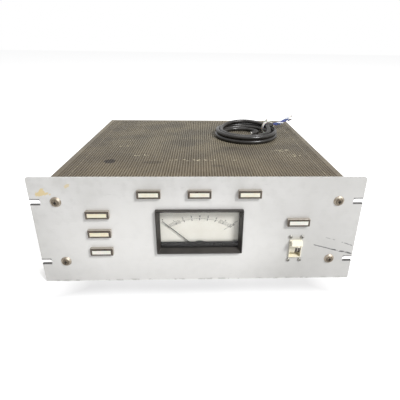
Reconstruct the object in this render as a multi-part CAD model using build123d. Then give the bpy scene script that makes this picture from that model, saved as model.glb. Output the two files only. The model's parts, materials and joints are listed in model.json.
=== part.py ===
from build123d import *
import math
import os

# Rack-mounted frequency converter for a turbomolecular pump: a four-unit, 19-inch instrument case.
# Millimetres. X runs to the right along the front panel, Y into the case and Z up. The origin is on
# the rack's mounting plane, the panel's rear face, at the middle of the panel's bottom edge.

# Rack panel
RACK_UNIT = 44.45
PANEL_UNITS = 4
PANEL_SLACK = 0.8
PANEL_WIDTH = 482.6
PANEL_HEIGHT = PANEL_UNITS * RACK_UNIT - PANEL_SLACK
PANEL_THICK = 3.175
PANEL_CORNER = 3.0
FRONT = -PANEL_THICK
SLOT_WIDTH = 7.1
SLOT_DEPTH = 15.0
SLOT_SPACING = 101.6
SLOT_ROWS = [PANEL_HEIGHT / 2 - SLOT_SPACING / 2, PANEL_HEIGHT / 2 + SLOT_SPACING / 2]

# Case
CASE_WIDTH = 431.8
CASE_DEPTH = 381.0
CASE_HEIGHT = 171.0
COVER_SHEET = 1.2
COVER_SKIRT = 14.0
COVER_BEND = 2.6
BASE_SHEET = 1.6
FRAME_SHEET = 2.0
FRAME_FLANGE = 20.0
FRAME_BEND = 3.0
REAR_SHEET = 2.0
REAR_FLANGE = 14.0
FRAME_OUT = CASE_WIDTH / 2 - COVER_SHEET
FRAME_IN = FRAME_OUT - FRAME_SHEET
FRAME_LOW = BASE_SHEET
FRAME_HIGH = CASE_HEIGHT - COVER_SHEET
VENT_LENGTH = 40.0
VENT_WIDTH = 4.0
VENT_PITCH = 16.0
VENT_COUNT = 6
VENT_ROWS = 2

# Clearances
SLIDE_GAP = 0.3
BODY_GAP = 0.2
PIN_GAP = 0.05
SCREW_GAP = 0.3
THREAD_GAP = 0.1

# Case fasteners
SCREW_R = 1.5
SCREW_HEAD_R = 3.0
SCREW_HEAD = 1.6
SCREW_LENGTH = 5.0
BASE_HEAD_R = 2.8
COVER_SCREW_Y = [22.0 + 84.0 * i for i in range(5)]
REAR_SCREW_Z = [35.0, 85.0, 135.0]
BASE_SCREW_Y = [30.0, 140.0, 250.0, 350.0]

# Panel screws in finishing washers
PANEL_SCREW_X = CASE_WIDTH / 2 - 10.9
PANEL_SCREW_R = 2.4
PANEL_SCREW_HEAD_R = 5.0
CROWN = 1.2
CUP_R = 8.0
CUP_HEIGHT = 2.4
CLINCH_R = 4.5
CLINCH_HEIGHT = 4.0

# Illuminated push-buttons
BUTTON_WIDTH = 34.0
BUTTON_HEIGHT = 12.5
BUTTON_RIM = 2.0
BUTTON_PROUD = 5.0
BUTTON_WALL = 0.8
BUTTON_CAP_PROUD = 0.8
BUTTON_TRAVEL = 2.0
BUTTON_BLOCK = 20.0
BUTTON_BACK = 28.0
CAP_WALL = 1.2
CAP_SKIRT = 7.0
STEM_R = 1.5
BULB_R = 2.4
BULB_LENGTH = 9.0
BLADE = [0.8, 8.0, 2.8]
TOP_ROW_Z = 152.1
TOP_ROW_PITCH = 72.5
SIDE_COLUMN_X = -148.0
SIDE_COLUMN_Z = 88.3
SIDE_COLUMN_PITCH = 31.5
RIGHT_BUTTON = (148.0, 105.2)
BUTTONS = [(i * TOP_ROW_PITCH, TOP_ROW_Z) for i in (-1, 0, 1)]
BUTTONS += [(SIDE_COLUMN_X, SIDE_COLUMN_Z + i * SIDE_COLUMN_PITCH) for i in (1, 0, -1)]
BUTTONS += [RIGHT_BUTTON]

# Panel meter: a frame on the front, and the instrument behind the panel
BEZEL_WIDTH = 130.0
BEZEL_HEIGHT = 74.6
BEZEL_Z = 89.5
BEZEL_PROUD = 5.0
BEZEL_LIP = 1.2
BEZEL_SIDE = 6.0
BEZEL_BELOW = 6.0
BEZEL_ABOVE = 8.0
BEZEL_SLEEVE = 2.0
BEZEL_BACK = 0.8
BEZEL_CORNER = 1.5
METER_WIDTH = 140.0
METER_HEIGHT = 104.0
METER_Z = 78.0
METER_DEPTH = 42.0
METER_WALL = 2.5
METER_EAR = 9.0
METER_EAR_THICK = 3.0
METER_EAR_HEIGHT = 66.0
METER_STUD_R = 2.0
METER_STUD_LENGTH = 11.0
METER_STUD_PITCH = 44.5
METER_NUT_AF = 7.0
METER_NUT = 3.2
WINDOW_FACE = 1.0
WINDOW_THICK = 1.6
MASK_FACE = 3.2
MASK_THICK = 0.8
MASK_TOP = 67.0
DIAL_FACE = 6.5
DIAL_THICK = 1.0
PIVOT_Z = 50.8
HUB_R = 17.7
NEEDLE_Y = 4.4
NEEDLE_THICK = 0.5
NEEDLE_LENGTH = 76.0
NEEDLE_ROOT = 1.5
NEEDLE_TIP = 0.7
NEEDLE_REST = 47.5
ARBOR_R = 0.8
MAGNET_R = 17.5
MAGNET_BORE = 10.5
CORE_R = 7.0
MAGNET_FRONT = 12.0
MAGNET_BACK = 28.0
COIL_R = 9.6
COIL_BAR = 1.4
COIL_REACH = 2.2
BRIDGE = 1.6
WEB = 2.5

# Circuit breaker
BREAKER_X = 148.4
BREAKER_Z = 57.5
BREAKER_WIDTH = 25.4
BREAKER_HEIGHT = 52.4
BREAKER_DEPTH = 50.0
BOSS_WIDTH = 19.6
BOSS_HEIGHT = 31.0
BOSS_PROUD = 2.5
HANDLE_WIDTH = 16.8
HANDLE_PIVOT = 12.0
HANDLE_DRUM_R = 13.5
HANDLE_REACH = 25.4
HANDLE_TIP = 9.0
HANDLE_NECK = 5.2
HANDLE_UP = 33.75
AXLE_R = 2.0
AXLE_LENGTH = 3.0
BREAKER_SCREW_X = 9.0
BREAKER_SCREW_Z = 20.9
BREAKER_SCREW_R = 1.6

# Power transformer
CORE_X = -115.0
CORE_Y = 285.0
CORE_WIDTH = 100.0
CORE_HEIGHT = 84.0
CORE_DEPTH = 50.0
CORE_LIMB = 17.0
COIL_BUILD = 15.0
FOOT = 18.0
FOOT_SHEET = 3.0
CORE_BOLT_R = 2.5

# Filter capacitors
CAN_R = 25.0
CAN_HEIGHT = 105.0
CAN_Y = 300.0
CAN_X = [-26.0, 40.0, 106.0]
CLAMP_SHEET = 1.5
CLAMP_HEIGHT = 20.0
CLAMP_FOOT = 9.0

# Control board
BOARD_WIDTH = 180.0
BOARD_LENGTH = 120.0
BOARD_THICK = 1.6
BOARD_X = 80.0
BOARD_Y = 150.0
STANDOFF = 20.0
STANDOFF_AF = 6.0
STANDOFF_INSET = 8.0

# Rear of the case
SINK_X = -100.0
SINK_Z = 85.0
SINK_WIDTH = 170.0
SINK_HEIGHT = 110.0
SINK_BASE = 6.0
SINK_FIN = 24.0
SINK_FIN_THICK = 1.8
SINK_FINS = 14
SINK_WINDOW = 12.0
TRANSISTOR_R = 9.6
TRANSISTOR_CAN = 6.5
TRANSISTOR_FLANGE = 1.6
TRANSISTOR_PITCH = 45.0
SOCKET_X = 50.0
SOCKET_Z = 110.0
SOCKET_R = 13.0
SOCKET_FLANGE_R = 17.0
SOCKET_PROUD = 14.0
SOCKET_RECESS = 3.0
SOCKET_INSIDE = 12.0
FUSE_X = [100.0, 130.0]
FUSE_Z = 110.0
FUSE_R = 6.0
FUSE_CAP_R = 8.0
FUSE_CAP = 14.0
FUSE_INSIDE = 34.0
STRIP_X = 90.0
STRIP_Z = 55.0
STRIP_WAYS = 8
STRIP_PITCH = 11.0
STRIP_HEIGHT = 22.0
STRIP_BASE = 6.0
STRIP_BARRIER = 5.0
STRIP_BARRIER_THICK = 1.6
GLAND_X = 178.0
GLAND_Z = 55.0
GLAND_BORE_R = 4.5
GLAND_R = 8.0
GLAND_NUT_R = 11.0
GLAND_PROUD = 18.0
GLAND_INSIDE = 8.0

# Pump cable, coiled and tied on the cover
CABLE_R = 4.0
COIL_X = 97.5
COIL_Y = 240.0
COIL_OUT_R = 66.0
COIL_IN_R = 34.0
COIL_TALL = 19.0
COIL_ROUND = 6.0
PLUG_R = 7.5
PLUG_LENGTH = 26.0
PLUG_X = 104.0
PLUG_Y = 232.0
PLUG_TURN = 25.0
TIE_TURN = 25.0
TIE_WIDTH = 4.8
TIE_THICK = 1.3
TIE_TAIL = 14.0
BOOT_R = 5.0
BOOT_START = (139.4, 240.8, 195.4)
BOOT_END = (154.0, 253.0, 195.4)
LEAD_R = 1.3
LEAD_SPREAD = [-3.0, 0.0, 3.0]
LEAD_POINTS = [(154.0, 253.0), (172.0, 268.0), (186.0, 287.0), (198.0, 304.0)]
LUG_LENGTH = 16.0
LUG_R = 2.1


def slab(sketch, back, front):
    """A sketch drawn in X and Z, made solid between two depths."""
    return extrude(Plane.XZ.offset(-back) * sketch, back - front)


def block(x0, x1, y0, y1, z0, z1):
    """A box between two corners."""
    return Pos((x0 + x1) / 2, (y0 + y1) / 2, (z0 + z1) / 2) * Box(x1 - x0, y1 - y0, z1 - z0)


def rod(x, z, back, front, r):
    """A round bar along Y."""
    return slab(Pos(x, z) * Circle(r), back, front)


def post(x, y, low, high, r):
    """A round bar along Z."""
    return Pos(x, y, (low + high) / 2) * Cylinder(r, high - low)


def cross_rod(y, z, left, right, r):
    """A round bar along X."""
    return Pos((left + right) / 2, y, z) * Rot(0, 90, 0) * Cylinder(r, right - left)


def hexagon(x, z, back, front, across_flats, bore):
    """A hexagonal nut along Y."""
    flats = RegularPolygon(across_flats / math.sqrt(3), 6) - Circle(bore)
    return slab(Pos(x, z) * flats, back, front)


def save(name, *pieces):
    """Write one sub-part, which is one solid or a group of like ones."""
    solids = [solid for piece in pieces for solid in piece.solids()]
    export_step(solids[0] if len(solids) == 1 else Compound(solids), f"parts/{name}.step")


def mirrored(*offsets):
    """Each offset on both sides of the middle."""
    return [side * offset for offset in offsets for side in (-1, 1)]


# Rack panel and case

def panel_slots():
    """The four rack slots, open at the panel's ends."""
    r = SLOT_WIDTH / 2
    inner = PANEL_WIDTH / 2 - SLOT_DEPTH + r
    slots = Sketch()
    for side in (-1, 1):
        for z in SLOT_ROWS:
            slots += Pos(side * inner, z) * Circle(r)
            slots += Pos(side * (inner + SLOT_DEPTH / 2), z) * Rectangle(SLOT_DEPTH, SLOT_WIDTH)
    return slots


def bezel_frame(side, above, below):
    """The bezel's outline drawn in by a margin on each edge."""
    height = BEZEL_HEIGHT - above - below
    return Pos(0, BEZEL_Z + (below - above) / 2) * Rectangle(BEZEL_WIDTH - 2 * side, height)


def front_panel():
    sketch = Pos(0, PANEL_HEIGHT / 2) * RectangleRounded(PANEL_WIDTH, PANEL_HEIGHT, PANEL_CORNER)
    sketch -= panel_slots()
    sketch -= bezel_frame(BEZEL_SLEEVE - BODY_GAP, BEZEL_SLEEVE - BODY_GAP, BEZEL_SLEEVE - BODY_GAP)
    for x, z in BUTTONS:
        neck_w = BUTTON_WIDTH - 2 * (BUTTON_RIM - BUTTON_WALL) + 2 * BODY_GAP
        neck_h = BUTTON_HEIGHT - 2 * (BUTTON_RIM - BUTTON_WALL) + 2 * BODY_GAP
        sketch -= Pos(x, z) * Rectangle(neck_w, neck_h)
    sketch -= Pos(BREAKER_X, BREAKER_Z) * Rectangle(BOSS_WIDTH + 2 * BODY_GAP, BOSS_HEIGHT + 2 * BODY_GAP)
    for x, z in breaker_screw_places():
        sketch -= Pos(x, z) * Circle(BREAKER_SCREW_R + SCREW_GAP)
    for x, z in panel_screw_places():
        sketch -= Pos(x, z) * Circle(PANEL_SCREW_R + SCREW_GAP)
    panel = slab(sketch, 0, FRONT)
    for x, z in meter_stud_places():
        panel += rod(x, z, METER_STUD_LENGTH, FRONT / 2, METER_STUD_R)
    return panel


def panel_screw_places():
    return [(x, z) for x in mirrored(PANEL_SCREW_X) for z in SLOT_ROWS]


def cup_washers():
    """Pressed finishing washers, each a ring with a cone inside for the screw's head."""
    rim = PANEL_SCREW_HEAD_R + SCREW_GAP
    outline = [(rim - CUP_HEIGHT, 0), (CUP_R, 0), (CUP_R - 0.4, 0.6), (rim + 0.4, CUP_HEIGHT), (rim, CUP_HEIGHT)]
    face = make_face(Polyline(*outline, close=True))
    ring = revolve(Plane.XZ * face, Axis.Z)
    return [Pos(x, FRONT, z) * Rot(90, 0, 0) * ring for x, z in panel_screw_places()]


def panel_screws():
    """Oval-head screws: a domed head on a cone, and a shank that reaches through the clinch nut."""
    head = CUP_HEIGHT + 0.1
    cone = PANEL_SCREW_HEAD_R - PANEL_SCREW_R
    tail = -(PANEL_THICK + FRAME_SHEET + CLINCH_HEIGHT + 1.0)
    screw = post(0, 0, tail, head, PANEL_SCREW_R)
    screw += Pos(0, 0, head - cone / 2) * Cone(PANEL_SCREW_R, PANEL_SCREW_HEAD_R, cone)
    crown = post(0, 0, head, head + CROWN, PANEL_SCREW_HEAD_R)
    screw += chamfer(crown.edges().filter_by(GeomType.CIRCLE).sort_by(Axis.Z)[-1], CROWN * 0.8)
    return [Pos(x, FRONT, z) * Rot(90, 0, 0) * screw for x, z in panel_screw_places()]


def clinch_nuts():
    bore = PANEL_SCREW_R + THREAD_GAP
    back = FRAME_SHEET + CLINCH_HEIGHT
    return [slab(Pos(x, z) * (Circle(CLINCH_R) - Circle(bore)), back, FRAME_SHEET) for x, z in panel_screw_places()]


def side_frame(side):
    """A channel of folded sheet with its flanges turned in, and a front flange for the panel."""
    height = FRAME_HIGH - FRAME_LOW
    middle = (FRAME_LOW + FRAME_HIGH) / 2
    outer = Pos(side * (FRAME_OUT - FRAME_FLANGE / 2), middle) * Rectangle(FRAME_FLANGE, height)
    corners = outer.vertices().filter_by(lambda v: abs(v.X) > FRAME_OUT - 1)
    outer = fillet(corners, FRAME_BEND)
    inner_x = side * (FRAME_OUT - FRAME_SHEET - FRAME_FLANGE / 2)
    inner = Pos(inner_x, middle) * Rectangle(FRAME_FLANGE, height - 2 * FRAME_SHEET)
    channel = slab(outer - inner, CASE_DEPTH, 0)
    channel += slab(outer, FRAME_SHEET, 0)
    for z in SLOT_ROWS:
        channel -= rod(side * PANEL_SCREW_X, z, FRAME_SHEET + 1, -1, PANEL_SCREW_R + SCREW_GAP)
    for y, z in frame_screw_places():
        channel -= cross_rod(y, z, side * FRAME_OUT - 4, side * FRAME_OUT + 4, SCREW_R + THREAD_GAP)
    for y in BASE_SCREW_Y:
        channel -= post(side * base_screw_x(), y, -1, FRAME_LOW + FRAME_SHEET + 1, SCREW_R + THREAD_GAP)
    return channel


def cover_screw_z():
    return CASE_HEIGHT - COVER_SKIRT / 2 - COVER_SHEET / 2


def rear_screw_y():
    return CASE_DEPTH - REAR_FLANGE / 2


def frame_screw_places():
    """Screw places on a side frame's web: a row under the cover's skirt, and a column into the rear."""
    row = [(y, cover_screw_z()) for y in COVER_SCREW_Y]
    return row + [(rear_screw_y(), z) for z in REAR_SCREW_Z]


def base_screw_x():
    return FRAME_OUT - FRAME_FLANGE / 2


def case_screws():
    """Pan-head screws through the cover's skirts and into the rear panel's flanges."""
    screws = []
    for side in (-1, 1):
        for y, z in frame_screw_places():
            seat = FRAME_OUT + (COVER_SHEET if z == cover_screw_z() else 0)
            shank = cross_rod(y, z, 0, SCREW_LENGTH, SCREW_R)
            head = Pos(SCREW_LENGTH + SCREW_HEAD / 2, y, z) * Rot(0, 90, 0) * Cylinder(SCREW_HEAD_R, SCREW_HEAD)
            head = chamfer(head.edges().filter_by(GeomType.CIRCLE).sort_by(Axis.X)[-1], SCREW_HEAD / 2)
            screw = Pos(seat - SCREW_LENGTH, 0, 0) * (shank + head)
            screws.append(screw if side > 0 else mirror(screw, Plane.YZ))
    return screws


def base_plate():
    half = FRAME_OUT
    plate = block(-half, half, 0, CASE_DEPTH, 0, BASE_SHEET)
    reach = (VENT_COUNT - 1) * VENT_PITCH
    for row in range(VENT_ROWS):
        for column in range(VENT_COUNT):
            for side in (-1, 1):
                x = side * (30 + row * 90 + VENT_LENGTH / 2)
                y = 130 + column * VENT_PITCH - reach / 2
                plate -= Pos(x, y, 0) * extrude(SlotOverall(VENT_LENGTH, VENT_WIDTH), 2 * BASE_SHEET, both=True)
    for x in mirrored(base_screw_x()):
        for y in BASE_SCREW_Y:
            plate -= Pos(x, y, 0) * base_screw_form(THREAD_GAP)
    return plate


def base_screw_form(gap):
    """A countersunk screw standing on its flat head, larger all round by the gap."""
    cone = BASE_HEAD_R - SCREW_R
    head = Pos(0, 0, cone / 2) * Cone(BASE_HEAD_R + gap, SCREW_R + gap, cone)
    return head + post(0, 0, 0, SCREW_LENGTH, SCREW_R + gap)


def base_screws():
    return [Pos(x, y, 0) * base_screw_form(0) for x in mirrored(base_screw_x()) for y in BASE_SCREW_Y]


def rear_panel():
    """A plate between the side frames, folded forward at both ends."""
    low = FRAME_LOW + FRAME_SHEET + SLIDE_GAP
    high = FRAME_HIGH - FRAME_SHEET - SLIDE_GAP
    half = FRAME_IN - BODY_GAP
    outer = Pos(0, CASE_DEPTH - REAR_FLANGE / 2) * Rectangle(2 * half, REAR_FLANGE)
    outer = fillet(outer.vertices().sort_by(Axis.Y)[-2:], FRAME_BEND)
    inner = Pos(0, CASE_DEPTH - REAR_SHEET - REAR_FLANGE / 2) * Rectangle(2 * (half - REAR_SHEET), REAR_FLANGE)
    panel = Pos(0, 0, low) * extrude(outer - inner, high - low)
    window = Pos(SINK_X, SINK_Z) * Rectangle(SINK_WIDTH - 2 * SINK_WINDOW, SINK_HEIGHT - 2 * SINK_WINDOW)
    holes = window + Pos(SOCKET_X, SOCKET_Z) * Circle(SOCKET_INSIDE + BODY_GAP)
    holes += Pos(GLAND_X, GLAND_Z) * Circle(GLAND_R + BODY_GAP)
    for x in FUSE_X:
        holes += Pos(x, FUSE_Z) * Circle(FUSE_R + BODY_GAP)
    panel -= slab(holes, CASE_DEPTH + 1, CASE_DEPTH - REAR_SHEET - 1)
    for z in REAR_SCREW_Z:
        panel -= cross_rod(rear_screw_y(), z, -CASE_WIDTH, CASE_WIDTH, SCREW_R + THREAD_GAP)
    return panel


def top_cover():
    """A folded sheet that drops over the side frames; its top is the ventilated face."""
    high = CASE_HEIGHT
    low = high - COVER_SKIRT
    outer = Pos(0, (low + high) / 2) * Rectangle(CASE_WIDTH, COVER_SKIRT)
    outer = fillet(outer.vertices().sort_by(Axis.Y)[-2:], COVER_BEND)
    inner_width = CASE_WIDTH - 2 * COVER_SHEET
    inner = Pos(0, (low + high) / 2 - COVER_SHEET) * Rectangle(inner_width, COVER_SKIRT)
    inner = fillet(inner.vertices().sort_by(Axis.Y)[-2:], COVER_BEND - COVER_SHEET)
    cover = slab(outer - inner, CASE_DEPTH, 0)
    for side in (-1, 1):
        for y in COVER_SCREW_Y:
            edge = side * CASE_WIDTH / 2
            cover -= cross_rod(y, cover_screw_z(), edge - 4, edge + 4, SCREW_R + SCREW_GAP)
    return cover


# Illuminated push-buttons

def button_housing(x, z):
    """A rim in front of the panel, a square sleeve through it and a solid switch block at the back."""
    neck = Rectangle(BUTTON_WIDTH - 2 * (BUTTON_RIM - BUTTON_WALL), BUTTON_HEIGHT - 2 * (BUTTON_RIM - BUTTON_WALL))
    mouth = Rectangle(BUTTON_WIDTH - 2 * BUTTON_RIM, BUTTON_HEIGHT - 2 * BUTTON_RIM)
    rim = slab(RectangleRounded(BUTTON_WIDTH, BUTTON_HEIGHT, 0.8), FRONT, FRONT - BUTTON_PROUD)
    front_edges = rim.faces().sort_by(Axis.Y)[0].edges()
    housing = chamfer(front_edges, 0.4) + slab(neck, BUTTON_BACK, FRONT)
    housing -= slab(mouth, BUTTON_BLOCK, FRONT - BUTTON_PROUD - 1)
    housing -= rod(0, 0, BUTTON_BACK - 2, BUTTON_BLOCK - 1, STEM_R + PIN_GAP)
    return Pos(x, 0, z) * housing


def button_cap(x, z):
    """A translucent cap with a stem that slides in the switch block."""
    face = FRONT - BUTTON_PROUD - BUTTON_CAP_PROUD
    width = BUTTON_WIDTH - 2 * BUTTON_RIM - 2 * SLIDE_GAP
    height = BUTTON_HEIGHT - 2 * BUTTON_RIM - 2 * SLIDE_GAP
    cap = slab(RectangleRounded(width, height, 0.5), face + CAP_SKIRT, face)
    cap = fillet(cap.faces().sort_by(Axis.Y)[0].edges(), 0.4)
    hollow = Rectangle(width - 2 * CAP_WALL, height - 2 * CAP_WALL)
    cap -= slab(hollow, face + CAP_SKIRT + 1, face + CAP_WALL)
    cap += rod(0, 0, BUTTON_BACK - 2 - BUTTON_TRAVEL - 1, face + CAP_WALL / 2, STEM_R)
    return Pos(x, 0, z) * cap


def button_bulbs():
    """Domed lamps beside each stem, seated on the switch block."""
    tip = BUTTON_BLOCK - BULB_LENGTH + BULB_R
    bulb = rod(0, 0, BUTTON_BLOCK, tip, BULB_R) + Pos(0, tip, 0) * Sphere(BULB_R)
    offset = BUTTON_WIDTH / 4
    return [Pos(x + offset, 0, z) * bulb for x, z in BUTTONS]


def button_blades():
    """Three flat solder blades behind each switch block."""
    wide, long, tall = BLADE
    blades = []
    for x, z in BUTTONS:
        for i in (-1, 0, 1):
            centre = x + i * BUTTON_WIDTH / 4
            blades.append(block(centre - wide / 2, centre + wide / 2, BUTTON_BACK, BUTTON_BACK + long,
                                z - tall / 2, z + tall / 2))
    return blades


# Panel meter

def meter_bezel():
    """A picture frame whose inner faces slope back through the panel to the glass."""
    frame = slab(Pos(0, BEZEL_Z) * RectangleRounded(BEZEL_WIDTH, BEZEL_HEIGHT, BEZEL_CORNER), FRONT, FRONT - BEZEL_PROUD)
    frame += slab(bezel_frame(BEZEL_SLEEVE, BEZEL_SLEEVE, BEZEL_SLEEVE), BEZEL_BACK, FRONT)
    mouth = Plane.XZ.offset(-FRONT + BEZEL_PROUD) * bezel_frame(BEZEL_LIP, BEZEL_LIP, BEZEL_LIP)
    throat = Plane.XZ.offset(-BEZEL_BACK) * bezel_frame(BEZEL_SIDE, BEZEL_ABOVE, BEZEL_BELOW)
    return frame - loft([mouth, throat])


def meter_outline(margin):
    return Pos(0, METER_Z) * Rectangle(METER_WIDTH - 2 * margin, METER_HEIGHT - 2 * margin)


def meter_stud_places():
    reach = METER_WIDTH / 2 + METER_EAR / 2
    return [(x, METER_Z + j * METER_STUD_PITCH / 2) for x in mirrored(reach) for j in (-1, 1)]


def meter_case():
    """An open-fronted moulded box with an ear on each side for the panel's studs."""
    case = slab(meter_outline(0), METER_DEPTH, 0) - slab(meter_outline(METER_WALL), METER_DEPTH - METER_WALL, -1)
    for side in (-1, 1):
        x = side * (METER_WIDTH / 2 + METER_EAR / 2)
        ear = Pos(x, METER_Z) * Rectangle(METER_EAR, METER_EAR_HEIGHT)
        for j in (-1, 1):
            ear -= Pos(x, METER_Z + j * METER_STUD_PITCH / 2) * Circle(METER_STUD_R + SCREW_GAP)
        case += slab(ear, METER_EAR_THICK, 0)
    return case


def meter_nuts():
    back = METER_EAR_THICK + METER_NUT
    bore = METER_STUD_R + THREAD_GAP
    return [hexagon(x, z, back, METER_EAR_THICK, METER_NUT_AF, bore) for x, z in meter_stud_places()]


def meter_pane(face, thick):
    """A flat plate that fills the meter case's mouth."""
    return slab(meter_outline(METER_WALL + BODY_GAP), face + thick, face)


def meter_mask():
    """The black plate over the movement, with a round rise over the pivot."""
    margin = METER_WALL + BODY_GAP
    low = METER_Z - METER_HEIGHT / 2 + margin
    sheet = Pos(0, (low + MASK_TOP) / 2) * Rectangle(METER_WIDTH - 2 * margin, MASK_TOP - low)
    sheet += Pos(0, PIVOT_Z) * Circle(HUB_R)
    return slab(sheet, MASK_FACE + MASK_THICK, MASK_FACE)


def meter_dial():
    """The printed plate, cut away round the movement."""
    return meter_pane(DIAL_FACE, DIAL_THICK) - rod(0, PIVOT_Z, DIAL_FACE + 2, DIAL_FACE - 1, MAGNET_BORE)


def meter_movement():
    """A ring magnet round a fixed iron core, with bridges that carry the arbor's two pivots."""
    ring = rod(0, 0, MAGNET_BACK, MAGNET_FRONT, MAGNET_R) - rod(0, 0, MAGNET_BACK + 1, MAGNET_FRONT - 1, MAGNET_BORE)
    core = rod(0, 0, MAGNET_BACK - COIL_REACH, MAGNET_FRONT + COIL_REACH, CORE_R)
    mid = (MAGNET_FRONT + MAGNET_BACK) / 2
    reach = (MAGNET_BACK - MAGNET_FRONT) / 2 - COIL_REACH
    webs = block(-WEB / 2, WEB / 2, mid - reach, mid + reach, -MAGNET_BORE - 1, MAGNET_BORE + 1)
    movement = ring + core + webs
    pivot = ARBOR_R + PIN_GAP
    bridge = RectangleRounded(2 * MAGNET_R - 4, 3 * WEB, 1) - Circle(pivot)
    front = MAGNET_FRONT - COIL_REACH
    back = MAGNET_BACK + COIL_REACH
    for x in mirrored(MAGNET_R - 3.5):
        movement += rod(x, 0, back, front, 1.2)
    movement += slab(bridge, front, front - BRIDGE) + slab(bridge, back + BRIDGE, back)
    movement += slab(Circle(CORE_R) - Circle(pivot), METER_DEPTH - METER_WALL, back + BRIDGE)
    return Pos(0, 0, PIVOT_Z) * movement


def meter_needle():
    """The pointer, its arbor and the coil frame, in one piece about the pivot."""
    front = MAGNET_FRONT - COIL_REACH / 2
    back = MAGNET_BACK + COIL_REACH / 2
    inner = COIL_R - COIL_BAR
    coil = block(-COIL_R, COIL_R, front - COIL_BAR / 2, back + COIL_BAR / 2, -COIL_BAR, COIL_BAR)
    coil -= block(-inner, inner, front + COIL_BAR / 2, back - COIL_BAR / 2, -CORE_R, CORE_R)
    arbor = rod(0, 0, front, NEEDLE_Y, ARBOR_R) + rod(0, 0, back + COIL_REACH + BRIDGE, back, ARBOR_R)
    blade = make_face(Polyline((-NEEDLE_ROOT / 2, -2 * CORE_R), (NEEDLE_ROOT / 2, -2 * CORE_R),
                               (NEEDLE_TIP / 2, NEEDLE_LENGTH), (-NEEDLE_TIP / 2, NEEDLE_LENGTH), close=True))
    blade = slab(blade, NEEDLE_Y + NEEDLE_THICK, NEEDLE_Y)
    needle = coil + arbor + blade + rod(0, 0, NEEDLE_Y + 2 * NEEDLE_THICK, NEEDLE_Y, 4 * ARBOR_R)
    return Pos(0, 0, PIVOT_Z) * Rot(0, -NEEDLE_REST, 0) * needle


# Circuit breaker

def breaker_screw_places():
    return [(BREAKER_X + i * BREAKER_SCREW_X, BREAKER_Z + j * BREAKER_SCREW_Z) for i in (-1, 1) for j in (-1, 1)]


def pivot_y():
    return FRONT + HANDLE_PIVOT


def breaker_body():
    """A moulded case behind the panel and a boss through it, bored across for the handle's drum."""
    body = block(-BREAKER_WIDTH / 2, BREAKER_WIDTH / 2, 0, BREAKER_DEPTH, -BREAKER_HEIGHT / 2, BREAKER_HEIGHT / 2)
    body = chamfer(body.edges().filter_by(Axis.X).sort_by(Axis.Y)[-2:], 3)
    boss = slab(RectangleRounded(BOSS_WIDTH, BOSS_HEIGHT, 0.8), 0, FRONT - BOSS_PROUD)
    body += fillet(boss.faces().sort_by(Axis.Y)[0].edges(), 0.5)
    width = HANDLE_WIDTH + 2 * SLIDE_GAP
    y = pivot_y()
    body -= cross_rod(y, 0, -width / 2, width / 2, HANDLE_DRUM_R + SLIDE_GAP)
    body -= block(-width / 2, width / 2, FRONT - BOSS_PROUD - 1, y, -mouth_half(), mouth_half())
    reach = width / 2 + AXLE_LENGTH
    body -= cross_rod(y, 0, -reach, reach, AXLE_R + PIN_GAP)
    for x, z in breaker_screw_places():
        body -= rod(x - BREAKER_X, z - BREAKER_Z, 6, -1, BREAKER_SCREW_R + THREAD_GAP)
    for z in (-BREAKER_HEIGHT / 4, BREAKER_HEIGHT / 4):
        body += rod(0, z, BREAKER_DEPTH + 8, BREAKER_DEPTH - 1, 2.5)
    return Pos(BREAKER_X, 0, BREAKER_Z) * body


def mouth_half():
    """Half the height of the boss's mouth, which lets the handle's neck reach both ends of its throw."""
    lean = math.radians(HANDLE_UP)
    depth = HANDLE_PIVOT + BOSS_PROUD
    share = (depth / math.cos(lean) - HANDLE_DRUM_R) / (HANDLE_REACH - HANDLE_DRUM_R)
    half_neck = (HANDLE_NECK + (HANDLE_TIP - HANDLE_NECK) * share) / 2
    return depth * math.tan(lean) + half_neck / math.cos(lean) + 2 * SLIDE_GAP


def breaker_handle():
    """A paddle that widens to its tip, on a round drum that closes the boss's mouth at every angle."""
    half_neck, half_tip = HANDLE_NECK / 2, HANDLE_TIP / 2
    paddle = make_face(Polyline((0, -half_neck), (HANDLE_DRUM_R, -half_neck), (HANDLE_REACH, -half_tip),
                                (HANDLE_REACH, half_tip), (HANDLE_DRUM_R, half_neck), (0, half_neck), close=True))
    side = Circle(HANDLE_DRUM_R) + paddle
    bar = Plane.YZ.offset(-HANDLE_WIDTH / 2) * Rot(0, 0, 180) * side
    handle = extrude(bar, HANDLE_WIDTH)
    tip = handle.faces().sort_by(Axis.Y)[0]
    handle = fillet(tip.edges(), 0.9)
    reach = HANDLE_WIDTH / 2 + AXLE_LENGTH
    handle += cross_rod(0, 0, -reach, reach, AXLE_R)
    return Pos(BREAKER_X, pivot_y(), BREAKER_Z) * Rot(-HANDLE_UP, 0, 0) * handle


def breaker_screws():
    shank = rod(0, 0, 5, FRONT, BREAKER_SCREW_R)
    head = rod(0, 0, FRONT, FRONT - 2, 3)
    head = chamfer(head.edges().filter_by(GeomType.CIRCLE).sort_by(Axis.Y)[0], 0.9)
    return [Pos(x, 0, z) * (shank + head) for x, z in breaker_screw_places()]


# Power supply

def transformer_core():
    """A stack of laminations: three limbs between two yokes."""
    window = CORE_HEIGHT - 2 * CORE_LIMB
    gap = (CORE_WIDTH - 4 * CORE_LIMB) / 2
    sketch = Rectangle(CORE_WIDTH, CORE_HEIGHT)
    for side in (-1, 1):
        sketch -= Pos(side * (CORE_LIMB + gap / 2), 0) * Rectangle(gap, window)
    for x, z in core_bolt_places():
        sketch -= Pos(x, z) * Circle(CORE_BOLT_R + SCREW_GAP)
    core = slab(sketch, CORE_DEPTH / 2, -CORE_DEPTH / 2)
    return Pos(CORE_X, CORE_Y, BASE_SHEET + CORE_HEIGHT / 2) * core


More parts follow.
